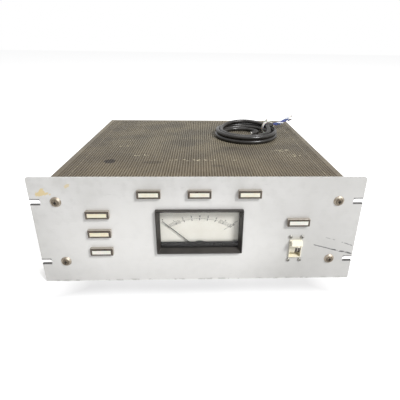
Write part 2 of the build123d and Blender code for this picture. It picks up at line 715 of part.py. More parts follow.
def core_bolt_places():
    """Bolt places in the middle of the outer limbs' corners, about the core's centre."""
    reach = (CORE_WIDTH - CORE_LIMB) / 2
    rise = (CORE_HEIGHT - CORE_LIMB) / 2
    return [(x, z) for x in mirrored(reach) for z in (-rise, rise)]


def transformer_coil():
    """The winding on its bobbin, round the middle limb."""
    gap = (CORE_WIDTH - 4 * CORE_LIMB) / 2
    width = 2 * (CORE_LIMB + gap - SLIDE_GAP)
    length = CORE_DEPTH + 2 * COIL_BUILD
    height = CORE_HEIGHT - 2 * CORE_LIMB - 2 * SLIDE_GAP
    ring = RectangleRounded(width, length, COIL_BUILD / 2)
    ring -= Rectangle(2 * (CORE_LIMB + SLIDE_GAP), CORE_DEPTH + 2 * SLIDE_GAP)
    return Pos(CORE_X, CORE_Y, BASE_SHEET + CORE_HEIGHT / 2 - height / 2) * extrude(ring, height)


def transformer_brackets():
    """Two angles clamped to the lower yoke, with feet on the base plate."""
    bracket = Rectangle(FOOT_SHEET, CORE_LIMB)
    bracket = Pos(CORE_DEPTH / 2 + FOOT_SHEET / 2, CORE_LIMB / 2) * bracket
    bracket += Pos(CORE_DEPTH / 2 + FOOT / 2, FOOT_SHEET / 2) * Rectangle(FOOT, FOOT_SHEET)
    angle = extrude(Plane.YZ.offset(-CORE_WIDTH / 2) * bracket, CORE_WIDTH)
    for x in mirrored((CORE_WIDTH - CORE_LIMB) / 2):
        angle -= rod(x, CORE_LIMB / 2, CORE_DEPTH, 0, CORE_BOLT_R + SCREW_GAP)
    return [Pos(CORE_X, CORE_Y, BASE_SHEET) * angle, Pos(CORE_X, CORE_Y, BASE_SHEET) * mirror(angle, Plane.XZ)]


def transformer_bolts():
    """Bolts through the core, the lower pair through the brackets too."""
    bolts = []
    for x, z in core_bolt_places():
        grip = CORE_DEPTH / 2 + (FOOT_SHEET if z < 0 else 0)
        bolt = rod(x, z, grip + 5, -grip - 1, CORE_BOLT_R)
        bolt += hexagon(x, z, -grip, -grip - 3.5, 8, 0.5 * CORE_BOLT_R)
        bolt += hexagon(x, z, grip + 4, grip, 8, 0.5 * CORE_BOLT_R)
        bolts.append(Pos(CORE_X, CORE_Y, BASE_SHEET + CORE_HEIGHT / 2) * bolt)
    return bolts


def filter_capacitors():
    cans = []
    for x in CAN_X:
        can = post(0, 0, 0, CAN_HEIGHT, CAN_R)
        can = chamfer(can.edges().filter_by(GeomType.CIRCLE).sort_by(Axis.Z)[-1], 2)
        for offset in mirrored(CAN_R / 2):
            can += post(offset, 0, CAN_HEIGHT - 1, CAN_HEIGHT + 5, 4)
        cans.append(Pos(x, CAN_Y, BASE_SHEET) * can)
    return cans


def capacitor_clamps():
    """A band round each can, with three feet turned out on the base plate."""
    inner = CAN_R + BODY_GAP
    outer = inner + CLAMP_SHEET
    clamp = extrude(Circle(outer) - Circle(inner), CLAMP_HEIGHT)
    for turn in (90, 210, 330):
        foot = Pos(inner + CLAMP_FOOT / 2, 0) * Rectangle(CLAMP_FOOT, CLAMP_FOOT) - Circle(inner)
        clamp += Rot(0, 0, turn) * extrude(foot, CLAMP_SHEET)
    return [Pos(x, CAN_Y, BASE_SHEET) * clamp for x in CAN_X]


# Control board

def standoff_places():
    half_w = BOARD_WIDTH / 2 - STANDOFF_INSET
    half_l = BOARD_LENGTH / 2 - STANDOFF_INSET
    return [(BOARD_X + i * half_w, BOARD_Y + j * half_l) for i in (-1, 1) for j in (-1, 1)]


def board_low():
    return BASE_SHEET + STANDOFF


def control_board():
    board = Pos(BOARD_X, BOARD_Y, board_low()) * extrude(RectangleRounded(BOARD_WIDTH, BOARD_LENGTH, 2), BOARD_THICK)
    for x, y in standoff_places():
        board -= post(x, y, board_low() - 1, board_low() + BOARD_THICK + 1, SCREW_R + SCREW_GAP)
    return board


def board_standoffs():
    """Hexagonal pillars, each with its screw through the board's corner."""
    pillar = extrude(RegularPolygon(STANDOFF_AF / math.sqrt(3), 6), STANDOFF)
    pillar += post(0, 0, STANDOFF - 1, STANDOFF + BOARD_THICK + 1, SCREW_R)
    pillar += post(0, 0, STANDOFF + BOARD_THICK, STANDOFF + BOARD_THICK + SCREW_HEAD, SCREW_HEAD_R)
    return [Pos(x, y, BASE_SHEET) * pillar for x, y in standoff_places()]


def board_components():
    """Relays along the back, rows of packaged circuits and a few small cans."""
    top = board_low() + BOARD_THICK
    parts = []
    for i in range(3):
        x = BOARD_X - 60 + i * 34
        parts.append(block(x, x + 28, BOARD_Y + 30, BOARD_Y + 50, top, top + 25))
    for row in range(2):
        for column in range(5):
            x = BOARD_X - 65 + column * 26
            y = BOARD_Y - 35 + row * 22
            parts.append(block(x, x + 19, y, y + 6.5, top, top + 4))
    for i in range(4):
        parts.append(post(BOARD_X + 70, BOARD_Y - 30 + i * 18, top, top + 16, 5))
    return parts


# Rear of the case

def heat_sink():
    """A comb of upright fins on a thick base, on the outside of the rear panel."""
    comb = Pos(0, SINK_BASE / 2) * Rectangle(SINK_WIDTH, SINK_BASE)
    pitch = (SINK_WIDTH - SINK_FIN_THICK) / (SINK_FINS - 1)
    for i in range(SINK_FINS):
        x = (SINK_FIN_THICK - SINK_WIDTH) / 2 + i * pitch
        comb += Pos(x, SINK_BASE + SINK_FIN / 2) * Rectangle(SINK_FIN_THICK, SINK_FIN)
    return Pos(SINK_X, CASE_DEPTH, SINK_Z - SINK_HEIGHT / 2) * extrude(comb, SINK_HEIGHT)


def power_transistors():
    """Round-can transistors on the heat sink's base, seen from inside through the panel's window."""
    cans = []
    seat = CASE_DEPTH
    flange = make_hull((Circle(TRANSISTOR_R) + Pos(15, 0) * Circle(4) + Pos(-15, 0) * Circle(4)).edges())
    for i in (-1, 0, 1):
        for j in (-1, 1):
            can = slab(flange, 0, -TRANSISTOR_FLANGE) + rod(0, 0, 0, -TRANSISTOR_CAN, TRANSISTOR_R)
            place = Pos(SINK_X + i * TRANSISTOR_PITCH, seat, SINK_Z + j * TRANSISTOR_PITCH / 2)
            cans.append(place * can)
    return cans


def output_connector():
    """A round flanged receptacle whose insert stands a little below the shell's rim."""
    back = CASE_DEPTH + SOCKET_PROUD
    shell = rod(0, 0, back, CASE_DEPTH, SOCKET_R) + rod(0, 0, CASE_DEPTH + 3, CASE_DEPTH, SOCKET_FLANGE_R)
    shell += rod(0, 0, CASE_DEPTH, CASE_DEPTH - SOCKET_INSIDE, SOCKET_INSIDE)
    shell -= rod(0, 0, back + 1, back - SOCKET_RECESS, SOCKET_R - 1.6)
    for turn in range(6):
        angle = math.radians(60 * turn)
        shell -= rod(7 * math.cos(angle), 7 * math.sin(angle), back, back - 10, 1)
    return Pos(SOCKET_X, 0, SOCKET_Z) * shell


def fuse_holders():
    holders = []
    for x in FUSE_X:
        back = CASE_DEPTH + FUSE_CAP
        cap = rod(x, FUSE_Z, back, CASE_DEPTH, FUSE_CAP_R)
        cap = chamfer(cap.edges().filter_by(GeomType.CIRCLE).sort_by(Axis.Y)[-1], 1)
        cap -= block(x - FUSE_CAP_R, x + FUSE_CAP_R, back - 1.5, back + 1, FUSE_Z - 0.8, FUSE_Z + 0.8)
        holders.append(cap + rod(x, FUSE_Z, CASE_DEPTH, CASE_DEPTH - FUSE_INSIDE, FUSE_R))
    return holders


def terminal_strip():
    """A barrier strip: a moulded base with a wall between neighbouring ways."""
    width = STRIP_WAYS * STRIP_PITCH + STRIP_BARRIER_THICK
    low, high = STRIP_Z - STRIP_HEIGHT / 2, STRIP_Z + STRIP_HEIGHT / 2
    strip = block(STRIP_X - width / 2, STRIP_X + width / 2, CASE_DEPTH, CASE_DEPTH + STRIP_BASE, low, high)
    for i in range(STRIP_WAYS + 1):
        x = STRIP_X + (i - STRIP_WAYS / 2) * STRIP_PITCH
        strip += block(x - STRIP_BARRIER_THICK / 2, x + STRIP_BARRIER_THICK / 2, CASE_DEPTH,
                       CASE_DEPTH + STRIP_BASE + STRIP_BARRIER, low, high)
    return strip


def cord_gland():
    """A cable gland for the supply cord: a hexagonal nut inside and a domed clamp outside."""
    back = CASE_DEPTH + GLAND_PROUD
    body = rod(0, 0, back, CASE_DEPTH - REAR_SHEET - GLAND_INSIDE, GLAND_R)
    body = fillet(body.edges().filter_by(GeomType.CIRCLE).sort_by(Axis.Y)[-1], 3)
    body += hexagon(0, 0, CASE_DEPTH + 5, CASE_DEPTH, 2 * GLAND_NUT_R, GLAND_BORE_R)
    inside = CASE_DEPTH - REAR_SHEET
    body += hexagon(0, 0, inside, inside - 5, 2 * GLAND_NUT_R, GLAND_BORE_R)
    body -= rod(0, 0, back + 1, inside - GLAND_INSIDE - 1, GLAND_BORE_R)
    return Pos(GLAND_X, 0, GLAND_Z) * body


# Pump cable on the cover

def coil_section(margin):
    """The tied turns' section, half a ring's width from the coil's axis."""
    width = COIL_OUT_R - COIL_IN_R + 2 * margin
    height = COIL_TALL + 2 * margin
    section = Rectangle(width, height)
    section = chamfer(section.vertices(), COIL_ROUND)
    return Pos((COIL_OUT_R + COIL_IN_R) / 2, COIL_TALL / 2) * section


def cable_coil():
    """The turns of cable as one closed ring of their outer shape."""
    ring = revolve(Plane.XZ * coil_section(0), Axis.Z)
    return Pos(COIL_X, COIL_Y, CASE_HEIGHT) * ring


def cable_tie():
    """A nylon band over the turns, with its head on top and its tail standing up."""
    gap = SLIDE_GAP
    band = coil_section(gap + TIE_THICK) - coil_section(gap)
    band = extrude(Plane.XZ * band, TIE_WIDTH / 2, both=True)
    band = band & block(0, 2 * COIL_OUT_R, -TIE_WIDTH, TIE_WIDTH, gap, 2 * COIL_TALL)
    x = (COIL_OUT_R + COIL_IN_R) / 2
    top = COIL_TALL + gap + TIE_THICK
    head = block(x - 3, x + 3, -TIE_WIDTH / 2 - 0.8, TIE_WIDTH / 2 + 0.8, top - TIE_THICK / 2, top + 4)
    tail = block(x, x + TIE_THICK, -TIE_WIDTH / 2, TIE_WIDTH / 2, top, top + TIE_TAIL)
    return Pos(COIL_X, COIL_Y, CASE_HEIGHT) * Rot(0, 0, TIE_TURN) * (band + head + tail)


def plug_place():
    return Pos(PLUG_X, PLUG_Y, CASE_HEIGHT + PLUG_R) * Rot(0, 0, PLUG_TURN)


def cable_plug():
    """A round plug lying inside the coil, its open end towards the middle."""
    half = PLUG_LENGTH / 2
    plug = cross_rod(0, 0, -half, half, PLUG_R)
    plug = chamfer(plug.edges().filter_by(GeomType.CIRCLE), 0.8)
    plug -= cross_rod(0, 0, -half - 1, -half + 3, PLUG_R - 1.5)
    return plug_place() * plug


def cable_tail():
    """The short length from the plug into the tied turns."""
    start = (plug_place() * Pos(PLUG_LENGTH / 2, 0, 0)).position
    centre = Vector(COIL_X, COIL_Y, start.Z)
    along = Vector(1, 0, 0).rotate(Axis.Z, PLUG_TURN)
    reach = (COIL_IN_R + CABLE_R) - (start - centre).length
    tail = Solid.make_cylinder(CABLE_R, reach, Plane(start, z_dir=along))
    return tail - cable_coil()


def lead_paths():
    """The three leads' routes: side by side at the boot, and a little fanned out at their lugs."""
    paths = []
    for spread in LEAD_SPREAD:
        points = []
        for i, (x, y) in enumerate(LEAD_POINTS):
            share = spread * (1 + 0.5 * max(0, i - 1))
            turn = math.atan2(BOOT_END[1] - BOOT_START[1], BOOT_END[0] - BOOT_START[0])
            points.append((x - share * math.sin(turn), y + share * math.cos(turn), BOOT_END[2]))
        paths.append(points)
    return paths


def cable_boot():
    """Heat-shrink over the end of the jacket, lying on the tied turns."""
    start, end = Vector(*BOOT_START), Vector(*BOOT_END)
    return Solid.make_cylinder(BOOT_R, (end - start).length, Plane(start, z_dir=(end - start)))


def tube(points, r, name):
    """A round cord along straight runs and tangent arcs, each arc as large as its two runs allow."""
    corners = [Vector(*p) for p in points]
    radii = []
    for before, here, after in zip(corners, corners[1:], corners[2:]):
        one, two = here - before, after - here
        half_turn = math.radians(one.get_angle(two)) / 2
        radii.append(0.45 * min(one.length, two.length) / math.tan(half_turn))
    path = FilletPolyline(*points, radius=radii)
    section = Plane(path @ 0, z_dir=path % 0) * Circle(r)
    solid = sweep(section, path)
    print(name, "radii", [round(v, 1) for v in radii], "length", round(path.length, 1),
          "volume", round(solid.volume, 1), "section x length", round(math.pi * r * r * path.length, 1))
    return solid


def cable_leads():
    return [tube(points, LEAD_R, f"lead {i}") for i, points in enumerate(lead_paths())]


def lead_lugs():
    """Crimped sleeves on the leads' ends, each with a flat tongue."""
    lugs = []
    for points in lead_paths():
        before, end = Vector(*points[-2]), Vector(*points[-1])
        along = (end - before).normalized()
        plane = Plane(end, x_dir=along.cross(Vector(0, 0, 1)), z_dir=along)
        sleeve = plane * Pos(0, 0, LUG_LENGTH / 4) * Cylinder(LUG_R, LUG_LENGTH / 2)
        tongue = plane * Pos(0, 0, LUG_LENGTH * 0.7) * Box(2 * LUG_R, 1, LUG_LENGTH * 0.6)
        lugs.append(sleeve + tongue)
    return lugs


os.makedirs("parts", exist_ok=True)

save("front_panel", front_panel())
save("panel_screws", *panel_screws())
save("cup_washers", *cup_washers())
save("clinch_nuts", *clinch_nuts())
save("side_frame_left", side_frame(-1))
save("side_frame_right", side_frame(1))
save("base_plate", base_plate())
save("base_screws", *base_screws())
save("rear_panel", rear_panel())
save("top_cover", top_cover())
save("case_screws", *case_screws())

for number, (x, z) in enumerate(BUTTONS, 1):
    save(f"button_housing_{number}", button_housing(x, z))
    save(f"button_cap_{number}", button_cap(x, z))
save("button_bulbs", *button_bulbs())
save("button_blades", *button_blades())

save("meter_bezel", meter_bezel())
save("meter_window", meter_pane(WINDOW_FACE, WINDOW_THICK))
save("meter_mask", meter_mask())
save("meter_dial", meter_dial())
save("meter_needle", meter_needle())
save("meter_movement", meter_movement())
save("meter_case", meter_case())
save("meter_nuts", *meter_nuts())

save("breaker_body", breaker_body())
save("breaker_handle", breaker_handle())
save("breaker_screws", *breaker_screws())

save("transformer_core", transformer_core())
save("transformer_coil", transformer_coil())
save("transformer_brackets", *transformer_brackets())
save("transformer_bolts", *transformer_bolts())
save("filter_capacitors", *filter_capacitors())
save("capacitor_clamps", *capacitor_clamps())
save("control_board", control_board())
save("board_standoffs", *board_standoffs())
save("board_components", *board_components())

save("heat_sink", heat_sink())
save("power_transistors", *power_transistors())
save("output_connector", output_connector())
save("fuse_holders", *fuse_holders())
save("terminal_strip", terminal_strip())
save("cord_gland", cord_gland())

save("cable_coil", cable_coil())
save("cable_tie", cable_tie())
save("cable_plug", cable_plug())
save("cable_tail", cable_tail())
save("cable_boot", cable_boot())
save("cable_leads", *cable_leads())
save("lead_lugs", *lead_lugs())
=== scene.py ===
import json
import math
import bmesh
import bpy
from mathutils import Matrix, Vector


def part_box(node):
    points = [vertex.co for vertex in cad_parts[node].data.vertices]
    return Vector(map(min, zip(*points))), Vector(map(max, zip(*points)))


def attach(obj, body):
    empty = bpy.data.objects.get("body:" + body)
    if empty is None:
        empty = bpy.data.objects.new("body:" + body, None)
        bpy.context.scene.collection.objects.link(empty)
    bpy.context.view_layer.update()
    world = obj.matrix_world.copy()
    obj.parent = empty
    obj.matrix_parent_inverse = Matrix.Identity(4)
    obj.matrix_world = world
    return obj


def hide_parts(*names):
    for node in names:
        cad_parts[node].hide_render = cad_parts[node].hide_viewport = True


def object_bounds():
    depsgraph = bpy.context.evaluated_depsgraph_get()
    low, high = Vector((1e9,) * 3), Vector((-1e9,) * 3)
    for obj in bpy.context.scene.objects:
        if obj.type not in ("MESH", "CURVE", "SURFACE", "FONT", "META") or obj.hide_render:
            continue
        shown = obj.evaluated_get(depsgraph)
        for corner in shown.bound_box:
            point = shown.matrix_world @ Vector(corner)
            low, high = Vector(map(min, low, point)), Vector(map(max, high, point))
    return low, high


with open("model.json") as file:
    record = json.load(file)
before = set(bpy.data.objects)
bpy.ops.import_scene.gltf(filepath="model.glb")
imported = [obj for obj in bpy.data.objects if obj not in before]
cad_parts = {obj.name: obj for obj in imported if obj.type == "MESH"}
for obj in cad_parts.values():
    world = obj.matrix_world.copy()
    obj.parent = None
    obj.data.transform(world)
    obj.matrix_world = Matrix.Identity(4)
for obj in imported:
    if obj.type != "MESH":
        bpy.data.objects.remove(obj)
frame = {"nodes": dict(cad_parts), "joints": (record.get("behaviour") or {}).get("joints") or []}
cad_box = [list(corner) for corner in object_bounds()]

MM = 0.001


def corners(node):
    """A node's lowest and highest corner at rest."""
    return [Vector(corner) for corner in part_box(node)]


COVER_LOW, COVER_HIGH = corners("top_cover")
COVER_TOP = COVER_HIGH.z
WASHER_LOW, WASHER_HIGH = corners("cup_washers")
WASHER = 8.0 * MM
SLOT_ROWS = (WASHER_LOW.z + WASHER, WASHER_HIGH.z - WASHER)
FRONT = -3.175 * MM


# Tools

def linear(code):
    """An sRGB hex colour as the linear colour that shaders take."""
    parts = [int(code[i:i + 2], 16) / 255 for i in (1, 3, 5)]
    return [p / 12.92 if p <= 0.04045 else ((p + 0.055) / 1.055) ** 2.4 for p in parts] + [1.0]


def feed(tree, node, inputs):
    """Give a node's inputs plain values, or links from outputs. A node stands for its first output in use."""
    for name, value in inputs.items():
        if isinstance(value, bpy.types.Node):
            value = next(output for output in value.outputs if output.enabled)
        if isinstance(value, bpy.types.NodeSocket):
            tree.links.new(value, node.inputs[name])
        else:
            node.inputs[name].default_value = value


def add(tree, kind, inputs=None, **settings):
    """One shader node with its settings and inputs."""
    made = tree.nodes.new("ShaderNode" + kind)
    for name, value in settings.items():
        setattr(made, name, value)
    feed(tree, made, inputs or {})
    return made


def where(tree, *factors):
    """The product of its factors. A factor is a number, an output, a node, or a smooth ramp: a value, where it
    starts and ends, and what it gives there, from 0 to 1 if nothing is said."""
    made = None
    for factor in factors:
        if isinstance(factor, tuple):
            value, low, high, least, most = (*factor, 0.0, 1.0)[:5]
            inputs = {"Value": value, "From Min": low, "From Max": high, "To Min": least, "To Max": most}
            factor = add(tree, "MapRange", inputs, interpolation_type="SMOOTHSTEP")
        made = factor if made is None else add(tree, "Math", {0: made, 1: factor}, operation="MULTIPLY")
    return made


def painted(tree, colour, *paints):
    """A colour with others laid over it in turn, each given as its code and the factors of where it lies."""
    if isinstance(colour, str):
        colour = linear(colour)
    for code, *factors in paints:
        colour = add(tree, "Mix", {0: where(tree, *factors), 6: colour, 7: linear(code)}, data_type="RGBA")
    return colour


def gap(tree, value, middle=0.0):
    """How far a value is from a middle, on either side."""
    past = add(tree, "Math", {0: value, 1: middle}, operation="SUBTRACT")
    return add(tree, "Math", {0: past}, operation="ABSOLUTE")


def choose(piece):
    """Only this piece selected and active, in object mode."""
    leave_edit()
    bpy.ops.object.select_all(action="DESELECT")
    piece.select_set(True)
    bpy.context.view_layer.objects.active = piece


def leave_edit():
    """Back to object mode, if anything is being edited."""
    if bpy.context.object and bpy.context.object.mode != "OBJECT":
        bpy.ops.object.mode_set(mode="OBJECT")


def begin(name, primitive, **settings):
    """A new primitive, which alone is selected and active."""
    leave_edit()
    bpy.ops.object.select_all(action="DESELECT")
    primitive(**settings)
    piece = bpy.context.object
    piece.name = name
    piece.data.name = name
    if piece.type == "MESH":
        bpy.ops.object.transform_apply(location=True, rotation=True, scale=True)
    return piece


def block(name, scale, **settings):
    """A new box with its sides given in millimetres."""
    return begin(name, bpy.ops.mesh.primitive_cube_add, size=1 * MM, scale=scale, **settings)


def pick(piece, kind, test):
    """In edit mode, select the vertices, edges or faces whose own middle passes the test."""
    bpy.ops.object.mode_set(mode="EDIT")
    bpy.ops.mesh.select_mode(type={"verts": "VERT", "edges": "EDGE", "faces": "FACE"}[kind])
    bpy.ops.mesh.select_all(action="DESELECT")
    shape = bmesh.from_edit_mesh(piece.data)
    for part in getattr(shape, kind):
        if kind == "verts":
            part.select_set(test(part.co, part))
        else:
            middle = sum((v.co for v in part.verts), Vector()) / len(part.verts)
            part.select_set(test(middle, part))
    shape.select_flush_mode()
    bmesh.update_edit_mesh(piece.data)


def faces_up(middle, face):
    """A test for pick: the faces that look up."""
    return face.normal.z > 0.9


def raise_faces(height, size=None, aside=0.0):
    """Extrude the selected faces along Z, and scale their new end by a size."""
    bpy.ops.mesh.extrude_region_move(TRANSFORM_OT_translate={"value": (aside, 0, height)})
    if size:
        bpy.ops.transform.resize(value=(size, size, 1))


def extend(step):
    """Extrude the selected edges by a step."""
    bpy.ops.mesh.extrude_edges_move(TRANSFORM_OT_translate={"value": step})


def modify(piece, kind, **settings):
    """Put a modifier on a piece and apply it."""
    choose(piece)
    made = piece.modifiers.new(kind.title(), kind)
    for name, value in settings.items():
        setattr(made, name, value)
    bpy.ops.object.modifier_apply(modifier=made.name)


def soften(piece, width, angle, segments=2):
    """Round by a width in millimetres the edges that are sharper than an angle in degrees."""
    modify(piece, "BEVEL", width=width * MM, segments=segments, limit_method="ANGLE", angle_limit=math.radians(angle))


def settle(piece, smooth=30):
    """Turning and scaling go into the mesh, doubles are merged, faces point outwards, curves are smooth."""
    choose(piece)
    bpy.ops.object.transform_apply(location=True, rotation=True, scale=True)
    bpy.ops.object.mode_set(mode="EDIT")
    bpy.ops.mesh.select_all(action="SELECT")
    bpy.ops.mesh.remove_doubles(threshold=1e-6)
    bpy.ops.mesh.normals_make_consistent(inside=False)
    bpy.ops.object.mode_set(mode="OBJECT")
    bpy.ops.object.shade_smooth_by_angle(angle=math.radians(smooth))


def joined(name, pieces):
    """Several pieces made one mesh."""
    choose(pieces[0])
    for piece in pieces:
        piece.select_set(True)
    bpy.ops.object.join()
    made = bpy.context.object
    made.name = name
    made.data.name = name
    return made


def dress(piece, *finishes):
    """The piece's materials, in the order of its material numbers."""
    piece.data.materials.clear()
    for finish in finishes:
        piece.data.materials.append(finish)


# Camera and light

camera_data = bpy.data.cameras.new("camera")
camera_data.sensor_width = 36.0
camera_data.lens = 30.072
camera_data.shift_x = -0.0337
camera_data.shift_y = -0.0567
camera_data.clip_start = 0.01
camera = bpy.data.objects.new("camera", camera_data)
bpy.context.scene.collection.objects.link(camera)
camera.location = (0.0004149, -0.4374892, 0.3564246)
camera.rotation_euler = [math.radians(a) for a in (67.6, -0.8381, -2.1762)]
bpy.context.scene.camera = camera

bpy.context.scene.view_settings.view_transform = "Standard"


def soft_light(name, place, aim, size, power):
    """A round area lamp of a size in metres and a power in watts, aimed at a point."""
    data = bpy.data.lights.new(name, "AREA")
    data.shape = "DISK"
    data.size = size
    data.energy = power
    lamp = bpy.data.objects.new(name, data)
    bpy.context.scene.collection.objects.link(lamp)
    lamp.location = place
    lamp.rotation_euler = (Vector(aim) - Vector(place)).to_track_quat("-Z", "Y").to_euler()


soft_light("key_light", (2.04, -2.08, 2.9), (0.0, 0.0, 0.09), 1.1, 172.0)
soft_light("top_light", (0.0, 0.7, 2.3), (0.0, 0.1, 0.0), 1.2, 11.0)

SKY_ON_OBJECT, SKY_SEEN = 0.22, 1.0

world = bpy.data.worlds.new("studio")
world.use_nodes = True
bpy.context.scene.world = world
air = world.node_tree
ray = add(air, "LightPath").outputs
seen = add(air, "Math", {0: ray["Is Camera Ray"], 1: ray["Is Glossy Ray"]}, operation="MAXIMUM")
seen = add(air, "Math", {0: seen, 1: ray["Is Transmission Ray"]}, operation="MAXIMUM")
level = add(air, "MapRange", {"Value": seen, "To Min": SKY_ON_OBJECT, "To Max": SKY_SEEN})
feed(air, air.nodes["Background"], {"Color": (1.0, 1.0, 1.0, 1.0), "Strength": level})


def blank(name):
    """A new material, its tree and its output, with no shader yet."""
    made = bpy.data.materials.new(name)
    made.use_nodes = True
    made.node_tree.nodes.clear()
    return made, made.node_tree, add(made.node_tree, "OutputMaterial")


FLOOR_GLOW = 0.8


def floor_finish():
    """Plain pale paper: it takes the shadow, and shows white where nothing shades it. Away from the object's foot the
    paper is lit by itself, as a studio's backdrop is. Near the foot that glow fades out, which paints a soft shadow
    round the panel's foot."""
    made, tree, out = blank("pale_floor")
    path = add(tree, "LightPath").outputs
    shows = add(tree, "Math", {0: path["Is Camera Ray"], 1: path["Is Glossy Ray"]}, operation="MAXIMUM")
    cut = add(tree, "SeparateXYZ", {0: add(tree, "TexCoord").outputs["Object"]}).outputs
    side = add(tree, "Math", {0: cut[0]}, operation="ABSOLUTE")
    # the glow is least at the panel's foot and rises to the sides, the front and the back: painted shade at the foot
    level = add(tree, "MapRange", {"Value": side, "From Min": 0.17, "From Max": 0.29, "To Max": FLOOR_GLOW})
    for near, far in ((-0.014, -0.075), (0.0, 0.04)):
        level = add(tree, "Math", {0: level, 1: where(tree, (cut[1], near, far, 0.0, FLOOR_GLOW))}, operation="MAXIMUM")
    light = add(tree, "Emission", {"Color": (1.0, 1.0, 1.0, 1.0), "Strength": where(tree, shows, level)})
    matt = add(tree, "BsdfDiffuse", {"Color": linear("#D6D6D7")})
    feed(tree, out, {"Surface": add(tree, "AddShader", {0: matt, 1: light})})
    return made


floor = begin("floor", bpy.ops.mesh.primitive_plane_add, size=16.0, location=(0.0, 2.0, cad_box[0][2]))
dress(floor, floor_finish())


# Finishes. Every pattern's size is a real size in millimetres: a noise of scale 1000 / size repeats about
# once in that size. Grain finer than the render can show is drawn as coarse as it needs.

def surface(name):
    """A new material, its tree, its shader and the coordinates that its patterns follow."""
    made = bpy.data.materials.new(name)
    made.use_nodes = True
    tree = made.node_tree
    return made, tree, tree.nodes["Principled BSDF"], add(tree, "TexCoord").outputs["Object"]


def clouds(tree, place, size, detail=3.0, stretch=(1, 1, 1)):
    """Soft irregular variation of one size in millimetres, from 0 to 1, drawn out along an axis by stretch."""
    moved = add(tree, "Mapping", {"Vector": place, "Scale": [1 / s for s in stretch]})
    return add(tree, "TexNoise", {"Vector": moved, "Scale": 1000 / size, "Detail": detail})


def set_all(tree, shader, colour, roughness, bump=None, depth=0.0, **plain):
    """Colour and roughness from nodes, a bump in metres, and the rest on the shader's own sockets."""
    feed(tree, shader, {"Base Color": colour, "Roughness": roughness})
    if bump is not None:
        feed(tree, shader, {"Normal": add(tree, "Bump", {"Height": bump, "Distance": depth, "Strength": 1.0})})
    feed(tree, shader, {name.replace("_", " "): value for name, value in plain.items()})


def moulded(name, light, dark, rough=0.45, grain=0.6, cloud=18.0, **plain):
    """A moulded plastic or lacquer: nearly one colour, a fine grain, and handling marks that dull it in patches."""
    made, tree, shader, place = surface(name)
    patch = clouds(tree, place, cloud)
    colour = painted(tree, light, (dark, (patch, 0.3, 0.7)))
    roughness = where(tree, (patch, 0.2, 0.8, rough - 0.06, rough + 0.1))
    set_all(tree, shader, colour, roughness, clouds(tree, place, grain, 2.0), 0.00003, **plain)
    return made


def metal(name, light, dark, rough=0.35, grain=0.5, cloud=12.0, stretch=(1, 1, 1), **plain):
    """A bare or plated metal: tarnish in patches, and fine marks from how it was worked, drawn out by stretch."""
    made, tree, shader, place = surface(name)
    marks = clouds(tree, place, grain, 3.0, stretch)
    colour = painted(tree, light, (dark, (clouds(tree, place, cloud), 0.3, 0.72)))
    roughness = where(tree, (marks, 0.25, 0.75, rough - 0.08, rough + 0.12))
    set_all(tree, shader, colour, roughness, marks, 0.00002, Metallic=1.0, **plain)
    return made


def band(tree, place, start, end, width, ragged):
    """1 along a stroke between two points of the panel's face, given as (x, z) in millimetres, and 0 off it."""
    (x0, z0), (x1, z1) = start, end
    length = math.hypot(x1 - x0, z1 - z0) * MM
    turned = add(tree, "VectorRotate", {"Vector": place, "Center": (x0 * MM, 0.0, z0 * MM), "Axis": (0, 1, 0),
                                        "Angle": math.atan2(z1 - z0, x1 - x0)})
    cut = add(tree, "SeparateXYZ", {0: turned}).outputs
    along = add(tree, "Math", {0: cut[0], 1: x0 * MM}, operation="SUBTRACT")
    across = add(tree, "Math", {0: ragged, 1: width * MM, 2: cut[2]}, operation="MULTIPLY_ADD")
    across = gap(tree, across, (z0 + width / 2) * MM)
    return where(tree, (along, 0.0, 0.08 * length), (along, 0.96 * length, length, 1.0, 0.0),
                 (across, 0.35 * width * MM, 0.65 * width * MM, 1.0, 0.0))


def spot(tree, place, middle, reach, ragged, rough=1.1):
    """1 inside a patch about a point, in millimetres, and 0 outside it, its outline ragged by a noise."""
    scale = [1 / (r * MM) for r in reach]
    moved = add(tree, "Mapping", {"Vector": place, "Scale": scale,
                                  "Location": [-m * MM * s for m, s in zip(middle, scale)]})
    away = add(tree, "VectorMath", {0: moved}, operation="LENGTH")
    away = add(tree, "Math", {0: ragged, 1: rough, 2: away}, operation="MULTIPLY_ADD")
    return where(tree, (away, 0.8 + 0.5 * rough, 1.05 + 0.5 * rough, 1.0, 0.0))


